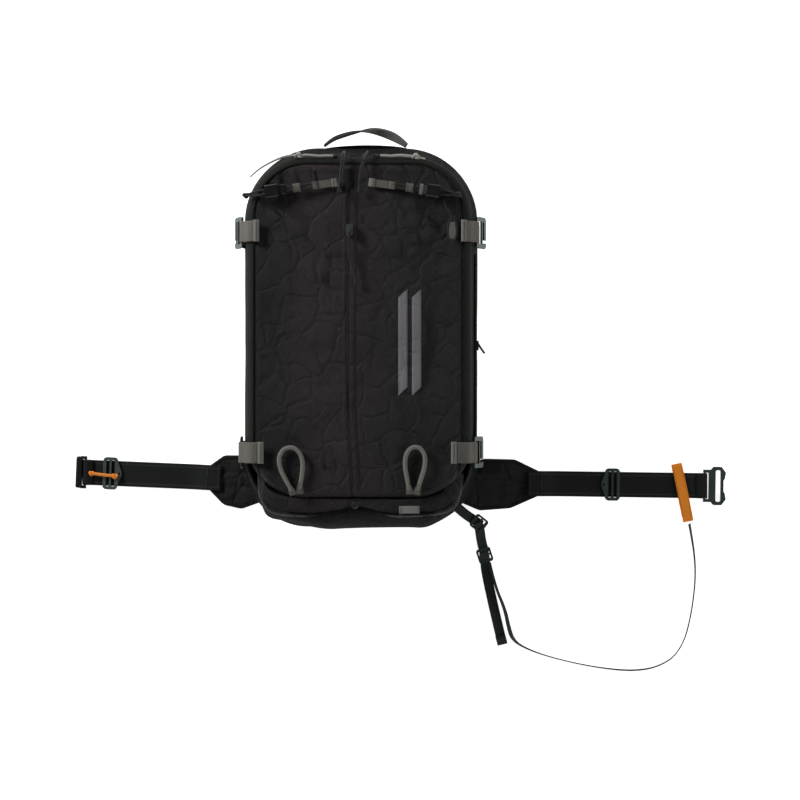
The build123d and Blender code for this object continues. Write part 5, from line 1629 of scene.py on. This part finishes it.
CAD_LOOKS = {
    "frame_sheet": "sheet", "sternum_socket": "black", "sternum_plug": "black", "trigger_handle": "red",
    "front_zip_slider": "steel_dark", "side_zip_slider": "black", "main_zip_slider_left": "steel_dark",
    "main_zip_slider_right": "steel_dark", "cord_lock_left": "gloss", "cord_lock_right": "gloss",
    "cord_lock_button_left": "gloss", "cord_lock_button_right": "grey_plastic", "belt_glide_left": "sage",
    "belt_glide_right": "sage_dark", "belt_buckle_hook": "slate_dark", "belt_buckle_loop": "slate",
    "compression_hook_lower_left": "slate", "compression_hook_lower_right": "slate",
    "compression_hook_upper_left": "slate", "compression_hook_upper_right": "slate", "leg_buckle_upper": "slate",
    "leg_buckle_lower": "slate", "blower_housing": "white", "blower_cover": "white", "impeller": "black",
    "blower_motor": "steel", "control_case": "black", "power_cells": "cell", "power_switch": "red",
}


def dress_cad():
    for node, look in CAD_LOOKS.items():
        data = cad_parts[node].data
        data.materials.clear()
        data.materials.append(M[look])


# ---- Making it all ----

front_panel()
front_binding()
main_shell()
base_lip()
base_boot()
front_zip()
main_zip()
zip_pull("front_zip_pull", "front_slider", -3.2)
zip_pull("main_zip_pull_left", "main_slider_left", 2.8)
zip_pull("main_zip_pull_right", "main_slider_right", -2.8)
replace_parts(side_tab(), "gear_tabs")
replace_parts(rim_cords()[0], "elastic_cords")
grab_handle()
for side in ("left", "right"):
    axe_holder(side)
    tool_loop(side)
    for level in ("lower", "upper"):
        compression_strap(level, side)
        strap_anchor(level, side)
    hip_wing(side)
    belt_web(side)
    shoulder_pad(side)
lanyard()
leg_strap()
leg_webs()
loop_sleeve()
print_bars()
garage()
rivet()
corner_tacks()
side_zip()
wing_tag()
back_pads()
harness()
trigger_cable()
folded_airbag()
dress_cad()


# ---- Floor, light and camera ----

def area_light(name, place, size, power, aim=(57, 150, 60)):
    data = bpy.data.lights.new(name, "AREA")
    data.energy = power
    data.shape = "RECTANGLE"
    data.size, data.size_y = size
    light = bpy.data.objects.new(name, data)
    light.location = Vector(place) * MM
    light.rotation_euler = (Vector(aim) - Vector(place)).to_track_quat("-Z", "Y").to_euler()
    bpy.context.scene.collection.objects.link(light)


def studio():
    """A plain white floor, soft light from above and all round, and a camera straight above."""
    n = Nodes("white floor")
    where, _ = n.object_xyz()
    cloud = n.noise(where, 2.0, 2.0)
    floor_material = n.finish(n.mix(n.ramp(cloud, 0.2, 0.8), (0.93, 0.93, 0.93, 1), (0.95, 0.95, 0.95, 1)), 0.9,
                              Specular_IOR_Level=0.1, Emission_Color=(1, 1, 1, 1), Emission_Strength=0.85)
    mesh = bpy.data.meshes.new("floor")
    corners = [(-90, -90, -0.0005), (90, -90, -0.0005), (90, 90, -0.0005), (-90, 90, -0.0005)]
    mesh.from_pydata(corners, [], [(0, 1, 2, 3)])
    mesh.materials.append(floor_material)
    floor = bpy.data.objects.new("floor", mesh)
    bpy.context.scene.collection.objects.link(floor)
    area_light("key", (-1900, 1500, 1150), (0.7, 0.7), 62)
    area_light("fill", (1900, 200, 1000), (1.2, 1.2), 15)
    area_light("low", (100, -1900, 900), (1.6, 1.0), 9)
    world = bpy.data.worlds.new("world")
    world.use_nodes = True
    world.node_tree.nodes["Background"].inputs[0].default_value = (1, 1, 1, 1)
    world.node_tree.nodes["Background"].inputs[1].default_value = 0.14
    bpy.context.scene.world = world
    bpy.context.scene.view_settings.view_transform = "Standard"
    camera_data = bpy.data.cameras.new("camera")
    camera_data.sensor_width = 36
    camera_data.lens = 78.5
    camera_data.clip_end = 200
    camera = bpy.data.objects.new("camera", camera_data)
    camera.location = (0.057, 0.114, 2.6)
    bpy.context.scene.collection.objects.link(camera)
    bpy.context.scene.camera = camera


studio()
